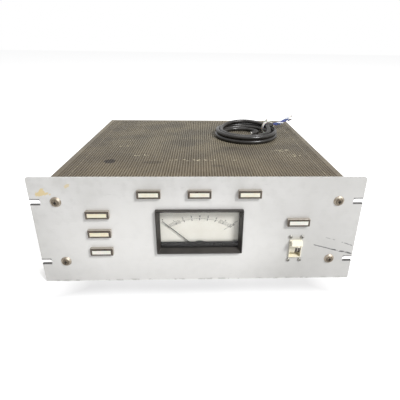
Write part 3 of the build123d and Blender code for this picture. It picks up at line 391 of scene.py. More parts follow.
def anodised_panel():
    """Clear-anodised aluminium plate, satin from a fine brushing along its length: pale grey with a soft sheen, a
    little cloudy, with scuffs, glue left by old tape and strokes of a marker. Painted light and shade lie over it too:
    lighter round the meter, darker at the right end, a highlight along the lower edge and shade round the slots."""
    made, tree, shader, place = surface("anodised_aluminium_panel")
    x, y, z = add(tree, "SeparateXYZ", {0: place}).outputs
    cloud = clouds(tree, place, 90.0, 4.0)
    brush = clouds(tree, place, 0.5, 2.0, (60, 1, 1))
    ragged = clouds(tree, place, 5.0, 4.0)
    mottle = clouds(tree, place, 11.0, 6.0)
    # how far from the place that is painted lightest, height counting double
    away = add(tree, "VectorMath", {0: place, 1: Vector((-40, 0, 60)) * MM}, operation="SUBTRACT")
    away = add(tree, "VectorMath", {0: away, 1: Vector((1, 0, 2))}, operation="MULTIPLY")
    away = add(tree, "VectorMath", {0: away}, operation="LENGTH")
    foot = add(tree, "Math", {0: ragged, 1: 2.4 * MM, 2: z}, operation="MULTIPLY_ADD")
    colour = painted(
        tree, "#D6D5D3", ("#C9C8C5", (cloud, 0.3, 0.7)), ("#B9B9B8", (brush, 0.3, 0.75, 0.0, 0.1)),
        # scuffs: thin short marks a little darker than the metal
        ("#A9A8A4", (clouds(tree, place, 3.0, 5.0, (5, 1, 1)), 0.66, 0.74, 0.0, 0.35)),
        # faint greasy mottling
        ("#B3B2AE", (mottle, 0.45, 0.7, 0.0, 0.2)),
        # painted light round the meter and down its left, and painted shade darkening the right end
        ("#EAE9E6", (away, 110 * MM, 230 * MM, 0.6, 0.0)),
        ("#BBBAB7", (x, 60 * MM, 170 * MM, 0.0, 0.5)),
        # a painted highlight along the lower edge, and the foot mottled darker
        ("#EFEFEC", (foot, 2.2 * MM, 2.6 * MM, 0.6, 0.0)),
        ("#8E8C86", (mottle, 0.5, 0.6), (foot, 3.0 * MM, 5.0 * MM, 0.4, 0.0)))
    # glue left by tape, yellowed: a large patch at the upper left edge and a small one beside it
    for middle, reach, strength in (((-224, 0, 153.6), (12, 40, 4.4), 0.8), ((-185, 0, 164.8), (3.6, 40, 3.8), 0.6)):
        glue = spot(tree, place, middle, reach, clouds(tree, place, 6.0, 2.0), 3.2)
        colour = painted(tree, colour, ("#D6BF85", glue, strength))
    # marker strokes at the right, two strong and two faint, broken where the pen skipped
    skip = where(tree, (clouds(tree, place, 7.0, 3.0), 0.38, 0.55))
    for start, end, width, strength in (((176, 64.2), (215, 52.6), 1.8, 0.75), ((206, 55.2), (241, 46.4), 2.4, 0.9),
                                        ((194, 76.5), (210, 72.0), 1.2, 0.5), ((220, 68.2), (239, 61.6), 1.3, 0.75)):
        colour = painted(tree, colour, ("#4C4C4E", band(tree, place, start, end, width, ragged), skip, strength))
    # painted shade: a dark ring round the open slots and on their walls, standing for the dark seen through them
    for row in SLOT_ROWS:
        colour = painted(tree, colour, ("#2E2C2B", (gap(tree, z, row), 4.7 * MM, 5.5 * MM, 1.0, 0.0),
                                        (gap(tree, x), 226.4 * MM, 227.4 * MM), (y, -3.15 * MM, -2.9 * MM, 0.85, 1.0)))
    set_all(tree, shader, colour, where(tree, (cloud, 0.3, 0.7, 0.42, 0.52)), brush, 0.00001, Metallic=0.15)
    return made


def enamelled_cover(name, light, dark, dusty):
    """Stoved enamel on perforated steel, olive grey gone brown: matt, dusty in patches and browner to the front,
    dulled along the sides, with a few specks rubbed bare, faint dark stains and one round one that is strong."""
    made, tree, shader, place = surface(name)
    cloud = clouds(tree, place, 60.0, 5.0)
    dust = clouds(tree, place, 9.0, 5.0)
    cut = add(tree, "SeparateXYZ", {0: place}).outputs
    side = gap(tree, cut[0])
    colour = painted(
        tree, light, (dark, (cloud, 0.35, 0.65)), (dusty, (dust, 0.55, 0.75, 0.0, 0.4)),
        ("#6E5C42", (cut[1], 10 * MM, 220 * MM, 0.3, 0.0)), ("#574F45", (side, 110 * MM, 210 * MM, 0.0, 0.3)))
    bare = where(tree, (clouds(tree, place, 2.4, 2.0, (2.5, 1, 1)), 0.56, 0.62))
    for x, y, wide, deep in ((-99.8, 111, 16, 5), (150, 141, 22, 7), (162, 112, 20, 7), (-140, 165, 9, 6),
                             (0, 88, 60, 4), (150, 186, 7, 5)):
        rub = spot(tree, place, (x, y, COVER_TOP / MM), (wide, deep, 20), dust)
        colour = painted(tree, colour, ("#D3C9AE", rub, bare))
    for x, y, wide, deep, strength in ((-145.7, 81, 10, 10.5, 0.95), (-75, 76, 17, 7, 0.45), (29, 60, 11, 6, 0.4),
                                       (-30, 190, 30, 22, 0.15), (60, 150, 22, 12, 0.25)):
        stain = spot(tree, place, (x, y, COVER_TOP / MM), (wide, deep, 20), dust)
        colour = painted(tree, colour, ("#2C251F", stain, strength))
    # the edge of the flange under the sheet, printed through as a paler line down each side
    line = [where(tree, (side, x * MM, (x + 0.8) * MM, a, 0.45 - a)) for x, a in ((189.0, 0.0), (190.8, 0.45))]
    line = add(tree, "Math", {0: line[0], 1: line[1]}, operation="MINIMUM")
    colour = painted(tree, colour, ("#BDB29B", line, (dust, 0.42, 0.56)))
    roughness = where(tree, (dust, 0.3, 0.7, 0.5, 0.68))
    set_all(tree, shader, colour, roughness, clouds(tree, place, 0.8, 3.0), 0.00004)
    return made


def cable_jacket():
    """PVC cable jacket, black gone a little brown: soft, faintly glossy along its top, with a fine rubbed grain."""
    made, tree, shader, place = surface("pvc_cable_jacket")
    cloud = clouds(tree, place, 22.0, 3.0)
    colour = painted(tree, "#1B1917", ("#2A2724", (cloud, 0.3, 0.7)))
    roughness = where(tree, (cloud, 0.25, 0.75, 0.26, 0.38))
    set_all(tree, shader, colour, roughness, clouds(tree, place, 0.7, 3.0), 0.00005, Specular_IOR_Level=0.5)
    return made


def clear_pane():
    """Clear acrylic: nearly nothing but its reflections. Lamps pass it, so that the dial behind stays lit."""
    made, tree, out = blank("clear_acrylic")
    smear = clouds(tree, add(tree, "TexCoord").outputs["Object"], 16.0, 3.0)
    gloss = add(tree, "BsdfGlossy", {"Color": (1, 1, 1, 1), "Roughness": where(tree, (smear, 0.3, 0.7, 0.02, 0.06))})
    through = add(tree, "BsdfTransparent", {"Color": (1, 1, 1, 1)})
    share = where(tree, add(tree, "Fresnel", {"IOR": 1.49}), 0.15)
    feed(tree, out, {"Surface": add(tree, "MixShader", {0: share, 1: through, 2: gloss})})
    return made


def lens_plastic(node, light, dark):
    """Frosted acrylic over a paper film: cream, faintly see-through, with a dark mask printed behind its margin."""
    low, high = corners(node)
    made, tree, shader, place = surface("frosted_acrylic_" + node)
    cloud = clouds(tree, place, 9.0, 3.0)
    colour = painted(tree, light, (dark, (cloud, 0.3, 0.7)))
    cut = add(tree, "SeparateXYZ", {0: place}).outputs
    for axis in (0, 2):
        half = (high[axis] - low[axis]) / 2
        off = gap(tree, cut[axis], (low[axis] + high[axis]) / 2)
        colour = painted(tree, colour, ("#4C443A", (off, half - 1.0 * MM, half - 0.7 * MM)))
    set_all(tree, shader, colour, where(tree, (cloud, 0.2, 0.8, 0.22, 0.34)), Subsurface_Weight=0.1,
            Subsurface_Scale=0.001, Coat_Weight=0.3)
    return made


def rim_finish():
    """Lacquered rim: dark bronze on the front, and paler grey along the sides, a painted highlight for the light that
    the sides catch.
    """
    made, tree, shader, place = surface("bronze_lacquered_rim")
    cloud = clouds(tree, place, 7.0)
    y = add(tree, "SeparateXYZ", {0: place}).outputs[1]
    # the sides behind the front face are painted paler: a painted highlight
    colour = painted(tree, "#5A4F44", ("#463D34", (cloud, 0.3, 0.7)), ("#A39C92", (y, -8.1 * MM, -7.9 * MM)))
    roughness = where(tree, (cloud, 0.2, 0.8, 0.3, 0.44))
    set_all(tree, shader, colour, roughness, clouds(tree, place, 0.4, 2.0), 0.00002, Metallic=0.3)
    return made


BAR_FOOT, BAR_TOP = 47.5, 58.8


def handle_finish():
    """Ivory urea moulding, glossy, with two dark brown bars side by side in its colour on the drum under the paddle."""
    made, tree, shader, place = surface("ivory_urea_moulding_with_bars")
    cloud = clouds(tree, place, 12.0)
    x, _, z = add(tree, "SeparateXYZ", {0: place}).outputs
    colour = painted(tree, "#F3EEDD", ("#EAE3CC", (cloud, 0.3, 0.7)))
    for left, right in ((148.2, 152.0), (152.5, 156.3)):
        colour = painted(tree, colour, (
            "#34291F", (x, left * MM, (left + 0.2) * MM), (x, right * MM, (right + 0.2) * MM, 1.0, 0.0),
            (z, BAR_FOOT * MM, (BAR_FOOT + 0.3) * MM), (z, BAR_TOP * MM, (BAR_TOP + 0.3) * MM, 1.0, 0.0)))
    roughness = where(tree, (cloud, 0.2, 0.8, 0.26, 0.38))
    set_all(tree, shader, colour, roughness, clouds(tree, place, 0.5, 2.0), 0.00002, Coat_Weight=0.2)
    return made


panel_metal = anodised_panel()
cover_enamel = enamelled_cover("stoved_enamel_on_perforated_steel", "#877E6B", "#716A5C", "#9D937F")
# the same enamel, darker: painted shade on the walls of the holes and the sheet's underside
cover_inside = enamelled_cover("sooty_enamel_inside_the_holes", "#3A342C", "#2B2722", "#4A443A")
# turned brass under old nickel: warm grey, soft glints
nickel = metal("nickel_plated_brass", "#B3AA9C", "#8A8073", 0.52, 0.4, 4.0)
# the same with its plating nearly gone: brown and dull
worn_brass = metal("brass_with_worn_nickel", "#847A6C", "#5E554A", 0.62, 0.4, 3.0)
# pressed steel, plated: cool pale grey, half dull
zinc = metal("zinc_plated_steel", "#B8B6AE", "#96938A", 0.4, 0.5, 9.0)
# rolled sheet, dipped: yellowish grey, cloudy along the rolling
chromated = metal("chromated_aluminium_sheet", "#BDB7A3", "#A8A08A", 0.42, 0.6, 60.0, (20, 1, 1))
# compression moulding: near black, satin
bezel_plastic = moulded("black_phenolic_moulding", "#262320", "#322E2A", 0.42, 0.5, 20.0)
rim_metal = rim_finish()
# blown glass, frosted within: milky and glossy
bulb_glass = moulded("lamp_glass", "#F2EFE6", "#DAD3C0", 0.12, 0.5, 5.0, Transmission_Weight=0.6)
# stamped strip: pale yellow, bright
brass = metal("tinned_brass", "#C8B98A", "#A6925E", 0.35, 0.4, 5.0)
pane = clear_pane()
# sheet metal with a baked paint: cream white, flat
card = moulded("enamelled_dial_card", "#F5F3E9", "#EFECE1", 0.6, 0.4, 25.0)
# thin sheet, painted: black, flat
needle_enamel = moulded("black_enamelled_aluminium", "#0F0E0E", "#171615", 0.7, 0.4, 6.0)
# sand casting, ground: dark grey, coarse
magnet_iron = metal("cast_magnet_alloy", "#8B8880", "#6C675E", 0.5, 1.2, 8.0)
# compression moulding: near black, duller than the bezel
case_plastic = moulded("black_phenolic_case", "#232120", "#302D2A", 0.5, 0.6, 25.0)
# compression moulding: warm white, glossy
ivory = moulded("ivory_urea_moulding", "#F3EEDD", "#EAE3CC", 0.32, 0.5, 12.0, Coat_Weight=0.2)
ivory_barred = handle_finish()
# printed: near black, flat
ink = moulded("printing_ink", "#1D1C1B", "#292726", 0.6, 0.3, 6.0)
# oiled steel, its black worn off: mid grey
dull_steel = metal("blackened_steel", "#A4A29C", "#7C7A75", 0.4, 0.4, 3.0)
# sprayed: black, with no gloss
matt_black = moulded("matt_black_enamel", "#171615", "#201E1D", 0.75, 0.4, 20.0)
# stacked sheets under varnish: brown grey, lined across
core_steel = metal("varnished_lamination_steel", "#6F665B", "#52493F", 0.5, 0.6, 14.0, (1, 30, 1))
# wound and soaked in varnish: amber, woven
tape = moulded("varnished_cloth_tape", "#B8993F", "#8F732B", 0.45, 1.2, 10.0)
# deep drawn: pale and bright, streaked upwards
can_metal = metal("drawn_aluminium_can", "#C9C9C6", "#ABABA7", 0.3, 0.5, 22.0, (1, 1, 30))
# pressed laminate under solder mask: green, satin
board_resin = moulded("epoxy_glass_board", "#3E6B45", "#2F5637", 0.4, 0.8, 16.0)
# transfer moulding: black, satin
component_resin = moulded("epoxy_component_body", "#262524", "#33302E", 0.45, 0.5, 6.0)
# extruded and dyed: charcoal, streaked upwards
sink_anodised = metal("black_anodised_aluminium", "#3B3A39", "#2B2A29", 0.45, 0.5, 20.0, (1, 1, 30))
# turned and plated: olive yellow, half bright
connector_metal = metal("cadmium_plated_shell", "#A7A08A", "#857D64", 0.35, 0.4, 6.0)
# compression moulding: black, glossy
fuse_plastic = moulded("black_bakelite", "#1F1D1C", "#2B2826", 0.3, 0.5, 8.0)
# injection moulding: mid grey, satin
gland_nylon = moulded("grey_nylon_gland", "#6B6C6C", "#5A5B5B", 0.5, 0.5, 8.0)
jacket = cable_jacket()
# injection moulding: milky white, light goes a little way in
tie_nylon = moulded("natural_nylon", "#F6F5F0", "#ECEAE2", 0.35, 0.5, 5.0, Subsurface_Weight=0.1,
                    Subsurface_Scale=0.001)
# shrunk on with hot air: black, satin
shrink = moulded("heat_shrink_sleeve", "#191919", "#242322", 0.5, 0.5, 5.0)
# dipped in tin: pale and bright
tinned = metal("tinned_copper", "#CFCDC8", "#A5A29C", 0.3, 0.4, 3.0)

FINISHES = {
    "front_panel": panel_metal, "panel_screws": nickel, "cup_washers": nickel, "clinch_nuts": zinc,
    "side_frame_left": chromated, "side_frame_right": chromated, "base_plate": chromated, "base_screws": zinc,
    "rear_panel": chromated, "top_cover": cover_enamel, "case_screws": nickel,
    "button_bulbs": bulb_glass, "button_blades": brass,
    "meter_bezel": bezel_plastic, "meter_window": pane, "meter_mask": matt_black, "meter_dial": card,
    "meter_needle": needle_enamel, "meter_movement": magnet_iron, "meter_case": case_plastic, "meter_nuts": zinc,
    "breaker_body": ivory, "breaker_handle": ivory_barred, "breaker_screws": dull_steel,
    "transformer_core": core_steel, "transformer_coil": tape, "transformer_brackets": zinc,
    "transformer_bolts": zinc, "filter_capacitors": can_metal, "capacitor_clamps": zinc,
    "control_board": board_resin, "board_standoffs": zinc, "board_components": component_resin,
    "heat_sink": sink_anodised, "power_transistors": zinc, "output_connector": connector_metal,
    "fuse_holders": fuse_plastic, "terminal_strip": fuse_plastic, "cord_gland": gland_nylon,
    "cable_coil": jacket, "cable_tail": jacket, "cable_tie": tie_nylon, "cable_plug": case_plastic,
    "cable_boot": shrink, "cable_leads": jacket, "lead_lugs": tinned,
}
LENS_TINTS = 3 * [("#EDE9D9", "#E6DFCA")] + 2 * [("#EFE8D0", "#E7DEC0")] + 2 * [("#ECEAE2", "#E4E1D6")]
for number, tints in enumerate(LENS_TINTS, 1):
    FINISHES[f"button_housing_{number}"] = rim_metal
    FINISHES[f"button_cap_{number}"] = lens_plastic(f"button_cap_{number}", *tints)
for name, finish in FINISHES.items():
    for slot in frame["nodes"][name].material_slots:
        slot.material = finish


# Pump cable: turns lying on the cover, tied at one place, with a plug inside and three leads at its end

COIL_LOW, COIL_HIGH = corners("cable_coil")
COIL_MIDDLE = (COIL_LOW + COIL_HIGH) / 2
CABLE = 8.0 * MM
LEAD = 3.4 * MM
# Where the cable passes: degrees round the coil from +X, then radius and height over the cover in millimetres
COIL_PLACES = [
    (-8, 18.5, 7.5), (16, 24.5, 6.5), (50, 32, 5), (90, 41, 4.2), (135, 48, 4.2), (180, 53.5, 4.2), (270, 54, 4.2),
    (360, 50.5, 5), (385, 48.3, 6.6), (450, 55, 6), (540, 61.8, 4.2), (630, 62.3, 4.2), (720, 59, 5.5),
    (745, 57, 6.6), (810, 63, 8.5), (900, 60, 11.8), (990, 60.5, 12), (1080, 58, 13.2), (1105, 55.5, 14.6),
    (1170, 60, 17.5), (1260, 52.3, 12.2), (1350, 53, 12.3), (1400, 50.5, 15), (1425, 45.5, 19.5), (1441, 41.9, 21.8),
]
COIL_START, COIL_END = COIL_PLACES[0][0], COIL_PLACES[-1][0]
STEP = 15
INSIDE = 1.006  # the curve runs a little inside its control points


def coil_point(angle):
    """A point of the cable's line at a turn of angle degrees, eased between the places on either side."""
    for (a0, r0, h0), (a1, r1, h1) in zip(COIL_PLACES, COIL_PLACES[1:]):
        if angle <= a1:
            share = (1 - math.cos(math.pi * (angle - a0) / (a1 - a0))) / 2
            reach, height = (r0 + (r1 - r0) * share) * INSIDE * MM, (h0 + (h1 - h0) * share) * MM
            turn = math.radians(angle)
            return (COIL_MIDDLE.x + reach * math.cos(turn), COIL_MIDDLE.y + reach * math.sin(turn), COVER_TOP + height)


def cord_curve(name, points, diameter, finish):
    """A round cord on one smooth line with these control points."""
    data = bpy.data.curves.new(name, "CURVE")
    data.dimensions = "3D"
    data.bevel_depth = diameter / 2
    data.bevel_resolution = 5
    data.resolution_u = 6
    data.use_fill_caps = True
    line = data.splines.new("NURBS")
    line.points.add(len(points) - 1)
    for knot, point in zip(line.points, points):
        knot.co = (*point, 1.0)
    line.order_u = 3
    line.use_endpoint_u = True
    made = bpy.data.objects.new(name, data)
    bpy.context.scene.collection.objects.link(made)
    data.materials.append(finish)
    return made


angles = [COIL_START + STEP * i for i in range((COIL_END - COIL_START) // STEP)] + [COIL_END]
cable_points = [coil_point(a) for a in angles]
# straight out of the plug first
plug_turn = math.radians(25)
plug_end = Vector(cable_points[0])
cable_points.insert(1, tuple(plug_end + Vector((math.cos(plug_turn), math.sin(plug_turn), -0.06)) * 5 * MM))
# Where the leads pass from the boot's end: x, y and height over the cover in millimetres
LEAD_ROUTE = [(154, 253, 21.6), (163, 260.5, 20.6), (172, 268, 20.4), (180.5, 279, 21), (190, 291, 22),
              (199.5, 303, 23)]
LIFT = Vector((0, 0, COVER_TOP))
boot_start = Vector(cable_points[-1])
boot_end = Vector(LEAD_ROUTE[0]) * MM + LIFT
cable_points.append(tuple(boot_start.lerp(boot_end, 0.3)))
pump_cable = cord_curve("pump_cable", cable_points, CABLE, jacket)
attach(pump_cable, "case")
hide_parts("cable_coil", "cable_tail")


def lead_points(phase):
    """One of three leads twisted loosely round the route, opening out a little at its end."""
    points = []
    for step in range(26):
        whole = step / 5.0001
        i = int(whole)
        middle = Vector(LEAD_ROUTE[i]).lerp(Vector(LEAD_ROUTE[i + 1]), whole - i)
        angle = phase + step * math.tau / 15
        out = 1.1 + 0.8 * min(1, whole) + 1.6 * max(0, whole - 4)
        off = Vector((-0.8 * math.cos(angle), 0.6 * math.cos(angle), math.sin(angle))) * out
        points.append((middle + off) * MM + LIFT)
    return points


WIRES = [("lead_blue", 0.0, "#2F4A86", "#243A6C"), ("lead_violet", 2.1, "#3C4688", "#2E3670"),
         ("lead_white", 4.2, "#E6E5E2", "#A9B4D2")]
leads = []
for name, phase, light, dark in WIRES:
    # extruded PVC: one bright colour, half glossy, a little dirty
    lead = cord_curve(name, lead_points(phase), LEAD, moulded("pvc_wire_" + name[5:], light, dark, 0.36, 0.4, 6.0))
    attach(lead, "case")
    leads.append(lead)
    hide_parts("cable_leads")


def along(piece, start, end):
    """Lay a piece that was made upright along Z, from the origin, on the line from start towards end."""
    piece.rotation_euler = (end - start).to_track_quat("Z", "Y").to_euler()
    piece.location = start


def heat_shrink_boot():
    """A sleeve shrunk over the end of the jacket: full width on the jacket, stepped down over the leads."""
    piece = begin("cable_boot_sleeve", bpy.ops.mesh.primitive_cylinder_add, vertices=24, radius=4.6 * MM,
                  depth=6 * MM, location=(0, 0, 3 * MM), end_fill_type="NGON")
    pick(piece, "faces", faces_up)
    for rise, size in ((1.5, 0.93), (4.0, 0.98), (2.0, 0.78), (3.5, 0.98), (1.5, 0.9)):
        raise_faces(rise * MM, size)
    along(piece, boot_start, boot_end)
    settle(piece, 40)
    soften(piece, 0.3, 50)
    dress(piece, shrink)
    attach(piece, "case")
    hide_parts("cable_boot")
    return piece


boot = heat_shrink_boot()


def small_plug():
    """A moulded plug: a ribbed grip that tapers to the cable, and a short bare metal nose."""
    body = begin("cable_plug_body", bpy.ops.mesh.primitive_cylinder_add, vertices=28, radius=4.4 * MM,
                 depth=1.5 * MM, location=(0, 0, 0.75 * MM))
    pick(body, "faces", faces_up)
    for rise, size in 4 * ((0.5, 1.12), (1.1, None), (0.4, 0.9)) + ((1.2, 1.12),):
        raise_faces(rise * MM, size)
    nose = begin("cable_plug_nose", bpy.ops.mesh.primitive_cylinder_add, vertices=24, radius=3.6 * MM,
                 depth=3 * MM, location=(0, 0, 11.5 * MM))
    pick(nose, "faces", faces_up)
    bpy.ops.mesh.inset(thickness=0.8 * MM, depth=0)
    raise_faces(-2 * MM)
    for piece, finish in ((body, case_plastic), (nose, tinned)):
        settle(piece, 40)
        soften(piece, 0.25, 40)
        dress(piece, finish)
    plug = joined("cable_plug_moulding", [body, nose])
    away = Vector((-math.cos(plug_turn), -math.sin(plug_turn), -0.06))
    along(plug, plug_end - away * MM, plug_end + away * 10 * MM)
    settle(plug, 40)
    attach(plug, "case")
    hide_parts("cable_plug")
    return plug


plug = small_plug()


def crimp_lug(name, start, end, sleeve_finish, tongue_finish):
    """A crimped terminal: an insulating sleeve with two crimps, and a flat tongue with a rounded end."""
    sleeve = begin(name, bpy.ops.mesh.primitive_cylinder_add, vertices=16, radius=2.0 * MM, depth=9 * MM,
                   location=(0, 0, 4.5 * MM))
    pick(sleeve, "edges", lambda c, e: abs(e.verts[0].co.z - e.verts[1].co.z) > 5 * MM)
    bpy.ops.mesh.subdivide(number_cuts=7)
    for z in (2.25, 5.6):
        pick(sleeve, "verts", lambda c, v: abs(c.z - z * MM) < 0.6 * MM)
        bpy.ops.transform.resize(value=(1.08, 0.72, 1))
    tongue = block(name + "_tongue", (4.0, 0.8, 7.0), location=(0, 0, 12 * MM))
    pick(tongue, "edges", lambda c, e: c.z > 15 * MM and abs(c.x) > 1.5 * MM)
    bpy.ops.mesh.bevel(offset=1.6 * MM, segments=4, affect="EDGES")
    settle(tongue)
    dress(sleeve, sleeve_finish)
    dress(tongue, tongue_finish)
    piece = joined(name, [sleeve, tongue])
    along(piece, start, end)
    settle(piece, 35)
    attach(piece, "case")
    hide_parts("lead_lugs")
    return piece


# moulded nylon sleeves: one warm white, the others a red so dark that it looks black
white_sleeve = moulded("white_nylon_sleeve", "#EDEAE2", "#D9D4C6", 0.4, 0.5, 4.0)
dark_tip = moulded("dark_red_sleeve", "#3A1A1C", "#241314", 0.4, 0.5, 4.0)
for lead, sleeve_finish in zip(leads, (dark_tip, dark_tip, white_sleeve)):
    # each lug points on from the route's last run, turned out towards its own lead
    tip = Vector(lead.data.splines[0].points[-1].co[:3])
    run = (Vector(LEAD_ROUTE[-1]) - Vector(LEAD_ROUTE[-2])).normalized()
    way = (run * 0.04 + (tip - Vector(LEAD_ROUTE[-1]) * MM - LIFT)).normalized()
    crimp_lug("lug_" + lead.name[5:], tip - way * 2 * MM, tip + way * MM, sleeve_finish, dark_tip)


# Cable tie: a loose loop round the turns, a ratchet head on top, and the free end standing up

TIE_TURN = math.radians(25)
TIE_REACH, TIE_HEIGHT = 52.6 * MM, 12.7 * MM


def cable_tie():
    """A nylon strap bent into a loop, and its head, a block that the free end comes out of."""
    loop = 12.2 * MM
    strap = begin("cable_tie_loop", bpy.ops.mesh.primitive_cylinder_add, vertices=36, radius=loop,
                  depth=4.8 * MM, end_fill_type="NOTHING", rotation=(math.pi / 2, 0, 0))
    pick(strap, "verts", lambda c, v: c.z < -0.4 * loop)
    bpy.ops.transform.resize(value=(1, 1, 0.93), center_override=(0, 0, -0.4 * loop))
    pick(strap, "verts", lambda c, v: c.x > 0.5 * loop)
    bpy.ops.transform.translate(value=(0.8 * MM, 0, 0))
    modify(strap, "SOLIDIFY", thickness=1.7 * MM, offset=1.0)
    head = block("cable_tie_head", (5.6, 5.6, 3.6), location=(-2.0 * MM, 0, loop + 2.0 * MM))
    pick(head, "faces", faces_up)
    bpy.ops.mesh.inset(thickness=1.1 * MM, depth=0)
    raise_faces(-0.9 * MM)
    soften(head, 0.7, 50, 3)
    tail = block("cable_tie_tail", (1.2, 4.4, 1.0), location=(-2.0 * MM, 0, loop + 3.4 * MM))
    pick(tail, "faces", faces_up)
    for i in range(3):
        raise_faces(0.7 * MM, aside=-0.3 * i * MM)
    soften(tail, 0.25, 50)
    for piece in (strap, head, tail):
        settle(piece, 40)
        dress(piece, tie_nylon)
    tie = joined("cable_tie_strap", [strap, head, tail])
    tie.rotation_euler = (0, 0, TIE_TURN)
    tie.location = (COIL_MIDDLE.x + TIE_REACH * math.cos(TIE_TURN), COIL_MIDDLE.y + TIE_REACH * math.sin(TIE_TURN),
                    COVER_TOP + TIE_HEIGHT)
    settle(tie, 40)
    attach(tie, "case")
    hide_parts("cable_tie")


cable_tie()


# Printed scale of the meter

PIVOT = next(j for j in frame["joints"] if j["name"] == "needle_swing")["pos_m"][2]
DIAL_FACE = corners("meter_dial")[0].y
PRINT_MIDDLE = DIAL_FACE - 0.05 * MM
ARC_MIDDLE, ARC = 13.6 * MM, 89.3 * MM
DIVISION = 12.45  # degrees at the pivot between two graduations
MINOR = 8  # small steps in each
SHORT_STEPS = 19  # small steps on each side of the middle whose marks are short


def dial_point(angle, past):
    """The (x, z) that lies a distance past the arc, on a line from the pivot that leans by an angle."""
    rise = PIVOT - ARC_MIDDLE
    reach = -rise * math.cos(angle) + math.sqrt(ARC ** 2 - (rise * math.sin(angle)) ** 2) + past
    return math.sin(angle) * reach, PIVOT + math.cos(angle) * reach


def dial_stroke(middle, angle, wide, tall):
    """A printed line on the dial: its middle as (x, z), leaning by an angle from upright."""
    return block("stroke", (wide, 0.1, tall), location=(middle[0], PRINT_MIDDLE, middle[1]), rotation=(0, angle, 0))


def dial_print():
    """Nine graduations on a flat arc, pointing at the pivot, with plain figures over them and fine marks between,
    a guide line at the right and a dot at the left."""
    marks = []
    for i in range(-4, 5):
        angle = math.radians(DIVISION * i)
        marks.append(dial_stroke(dial_point(angle, 1.8 * MM), angle, 0.95, 3.8))
        figure = begin("figure", bpy.ops.object.text_add, rotation=(math.pi / 2, 0, 0))
        figure.data.body = str(i + 4)
        figure.data.size = 5.2 * MM
        figure.data.extrude = 0.04 * MM
        figure.data.align_x = "CENTER"
        figure.data.align_y = "CENTER"
        choose(figure)
        bpy.ops.object.convert(target="MESH")
        bpy.ops.object.transform_apply(location=True, rotation=True, scale=True)
        x, z = dial_point(angle, 6.6 * MM)
        figure.rotation_euler = (0, angle, 0)
        figure.location = (x, PRINT_MIDDLE, z)
        bpy.ops.object.transform_apply(location=True, rotation=True, scale=True)
        marks.append(figure)
    for j in range(-4 * MINOR, 4 * MINOR + 1):
        if j % MINOR:
            size = (0.3, 1.6) if abs(j) <= SHORT_STEPS else (0.4, 6.4)
            angle = math.radians(DIVISION * j / MINOR)
            marks.append(dial_stroke(dial_point(angle, 2.9 * MM), angle, *size))
    marks.append(dial_stroke((48.0 * MM, 94.0 * MM), math.radians(52.9), 0.4, 26.0))
    marks.append(begin("dot", bpy.ops.mesh.primitive_cylinder_add, vertices=20, radius=0.95 * MM, depth=0.1 * MM,
                       location=(-56.1 * MM, PRINT_MIDDLE, 104.2 * MM), rotation=(math.pi / 2, 0, 0)))
    printed = joined("dial_scale", marks)
    dress(printed, ink)
    choose(printed)
    bpy.ops.object.shade_flat()
    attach(printed, "case")


dial_print()


# Screws on the panel: domed heads with a cross recess in cup washers, and small ones round the breaker

def panel_screw(name, place, head, crown, lift, shank, tail, recess, finish, node):
    """A screw seen from its head: shank, cone, rim and a dome in steps, with a recess sunk in it."""
    piece = begin(name, bpy.ops.mesh.primitive_cylinder_add, vertices=28, radius=shank, depth=tail,
                  location=(0, 0, lift - (head - shank) - tail / 2))
    pick(piece, "faces", faces_up)
    wide = shank
    for rise, reach in ((head - shank, head), (0.25 * crown, head), (0.35 * crown, 0.9 * head),
                        (0.25 * crown, 0.68 * head), (0.12 * crown, 0.4 * head)):
        raise_faces(rise, reach / wide)
        wide = reach
    leave_edit()
    # the recess takes the second finish, matt black: painted shade in the recess
    dress(piece, finish, matt_black)
    for quarter in range(2):
        cutter = begin("cutter", bpy.ops.mesh.primitive_cube_add, size=1, scale=recess,
                       location=(0, 0, lift + crown), rotation=(0, 0, quarter * math.pi / 2))
        # the recess narrows as it goes down
        pick(cutter, "faces", lambda c, f: f.normal.z < -0.9)
        bpy.ops.transform.resize(value=(0.45, 0.8, 1))
        leave_edit()
        dress(cutter, finish, matt_black)
        for face in cutter.data.polygons:
            face.material_index = 1
        modify(piece, "BOOLEAN", operation="DIFFERENCE", object=cutter)
        bpy.data.objects.remove(cutter)
    piece.rotation_euler = (math.pi / 2, 0, 0)
    piece.location = place
    settle(piece, 35)
    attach(piece, "case")
    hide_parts(node)


screw_low, screw_high = corners("panel_screws")
CROWN = 1.2 * MM
for i, x in enumerate((WASHER_LOW.x + WASHER, WASHER_HIGH.x - WASHER)):
    for j, z in enumerate(SLOT_ROWS):
        panel_screw(f"panel_screw_{2 * i + j + 1}", (x, FRONT, z), 5.0 * MM, CROWN, FRONT - screw_low.y - CROWN,
                    2.4 * MM, screw_high.y - FRONT - 0.5 * MM, (6.8 * MM, 1.8 * MM, 3.6 * MM), worn_brass,
                    "panel_screws")

SMALL_HEAD = 3.0 * MM
small_low, small_high = corners("breaker_screws")
for i, x in enumerate((small_low.x + SMALL_HEAD, small_high.x - SMALL_HEAD)):
    for j, z in enumerate((small_low.z + SMALL_HEAD, small_high.z - SMALL_HEAD)):
        panel_screw(f"breaker_screw_{2 * i + j + 1}", (x, FRONT, z), SMALL_HEAD, 1.6 * MM, 0.4 * MM, 1.6 * MM,
                    6.0 * MM, (3.6 * MM, 0.8 * MM, 1.6 * MM), dull_steel, "breaker_screws")


# The edges of these nodes are broken a little, which catches the light

for name, width in (("front_panel", 0.4), ("meter_bezel", 0.3), ("breaker_body", 0.3)):
    node = frame["nodes"][name]
    weld = node.modifiers.new("Weld", "WELD")
    weld.merge_threshold = 0.002 * MM
    edge = node.modifiers.new("Bevel", "BEVEL")
    edge.width = width * MM
    edge.segments = 2
    edge.limit_method = "ANGLE"
    edge.angle_limit = math.radians(60)
    edge.use_clamp_overlap = True
    edge.harden_normals = False


# Perforated cover

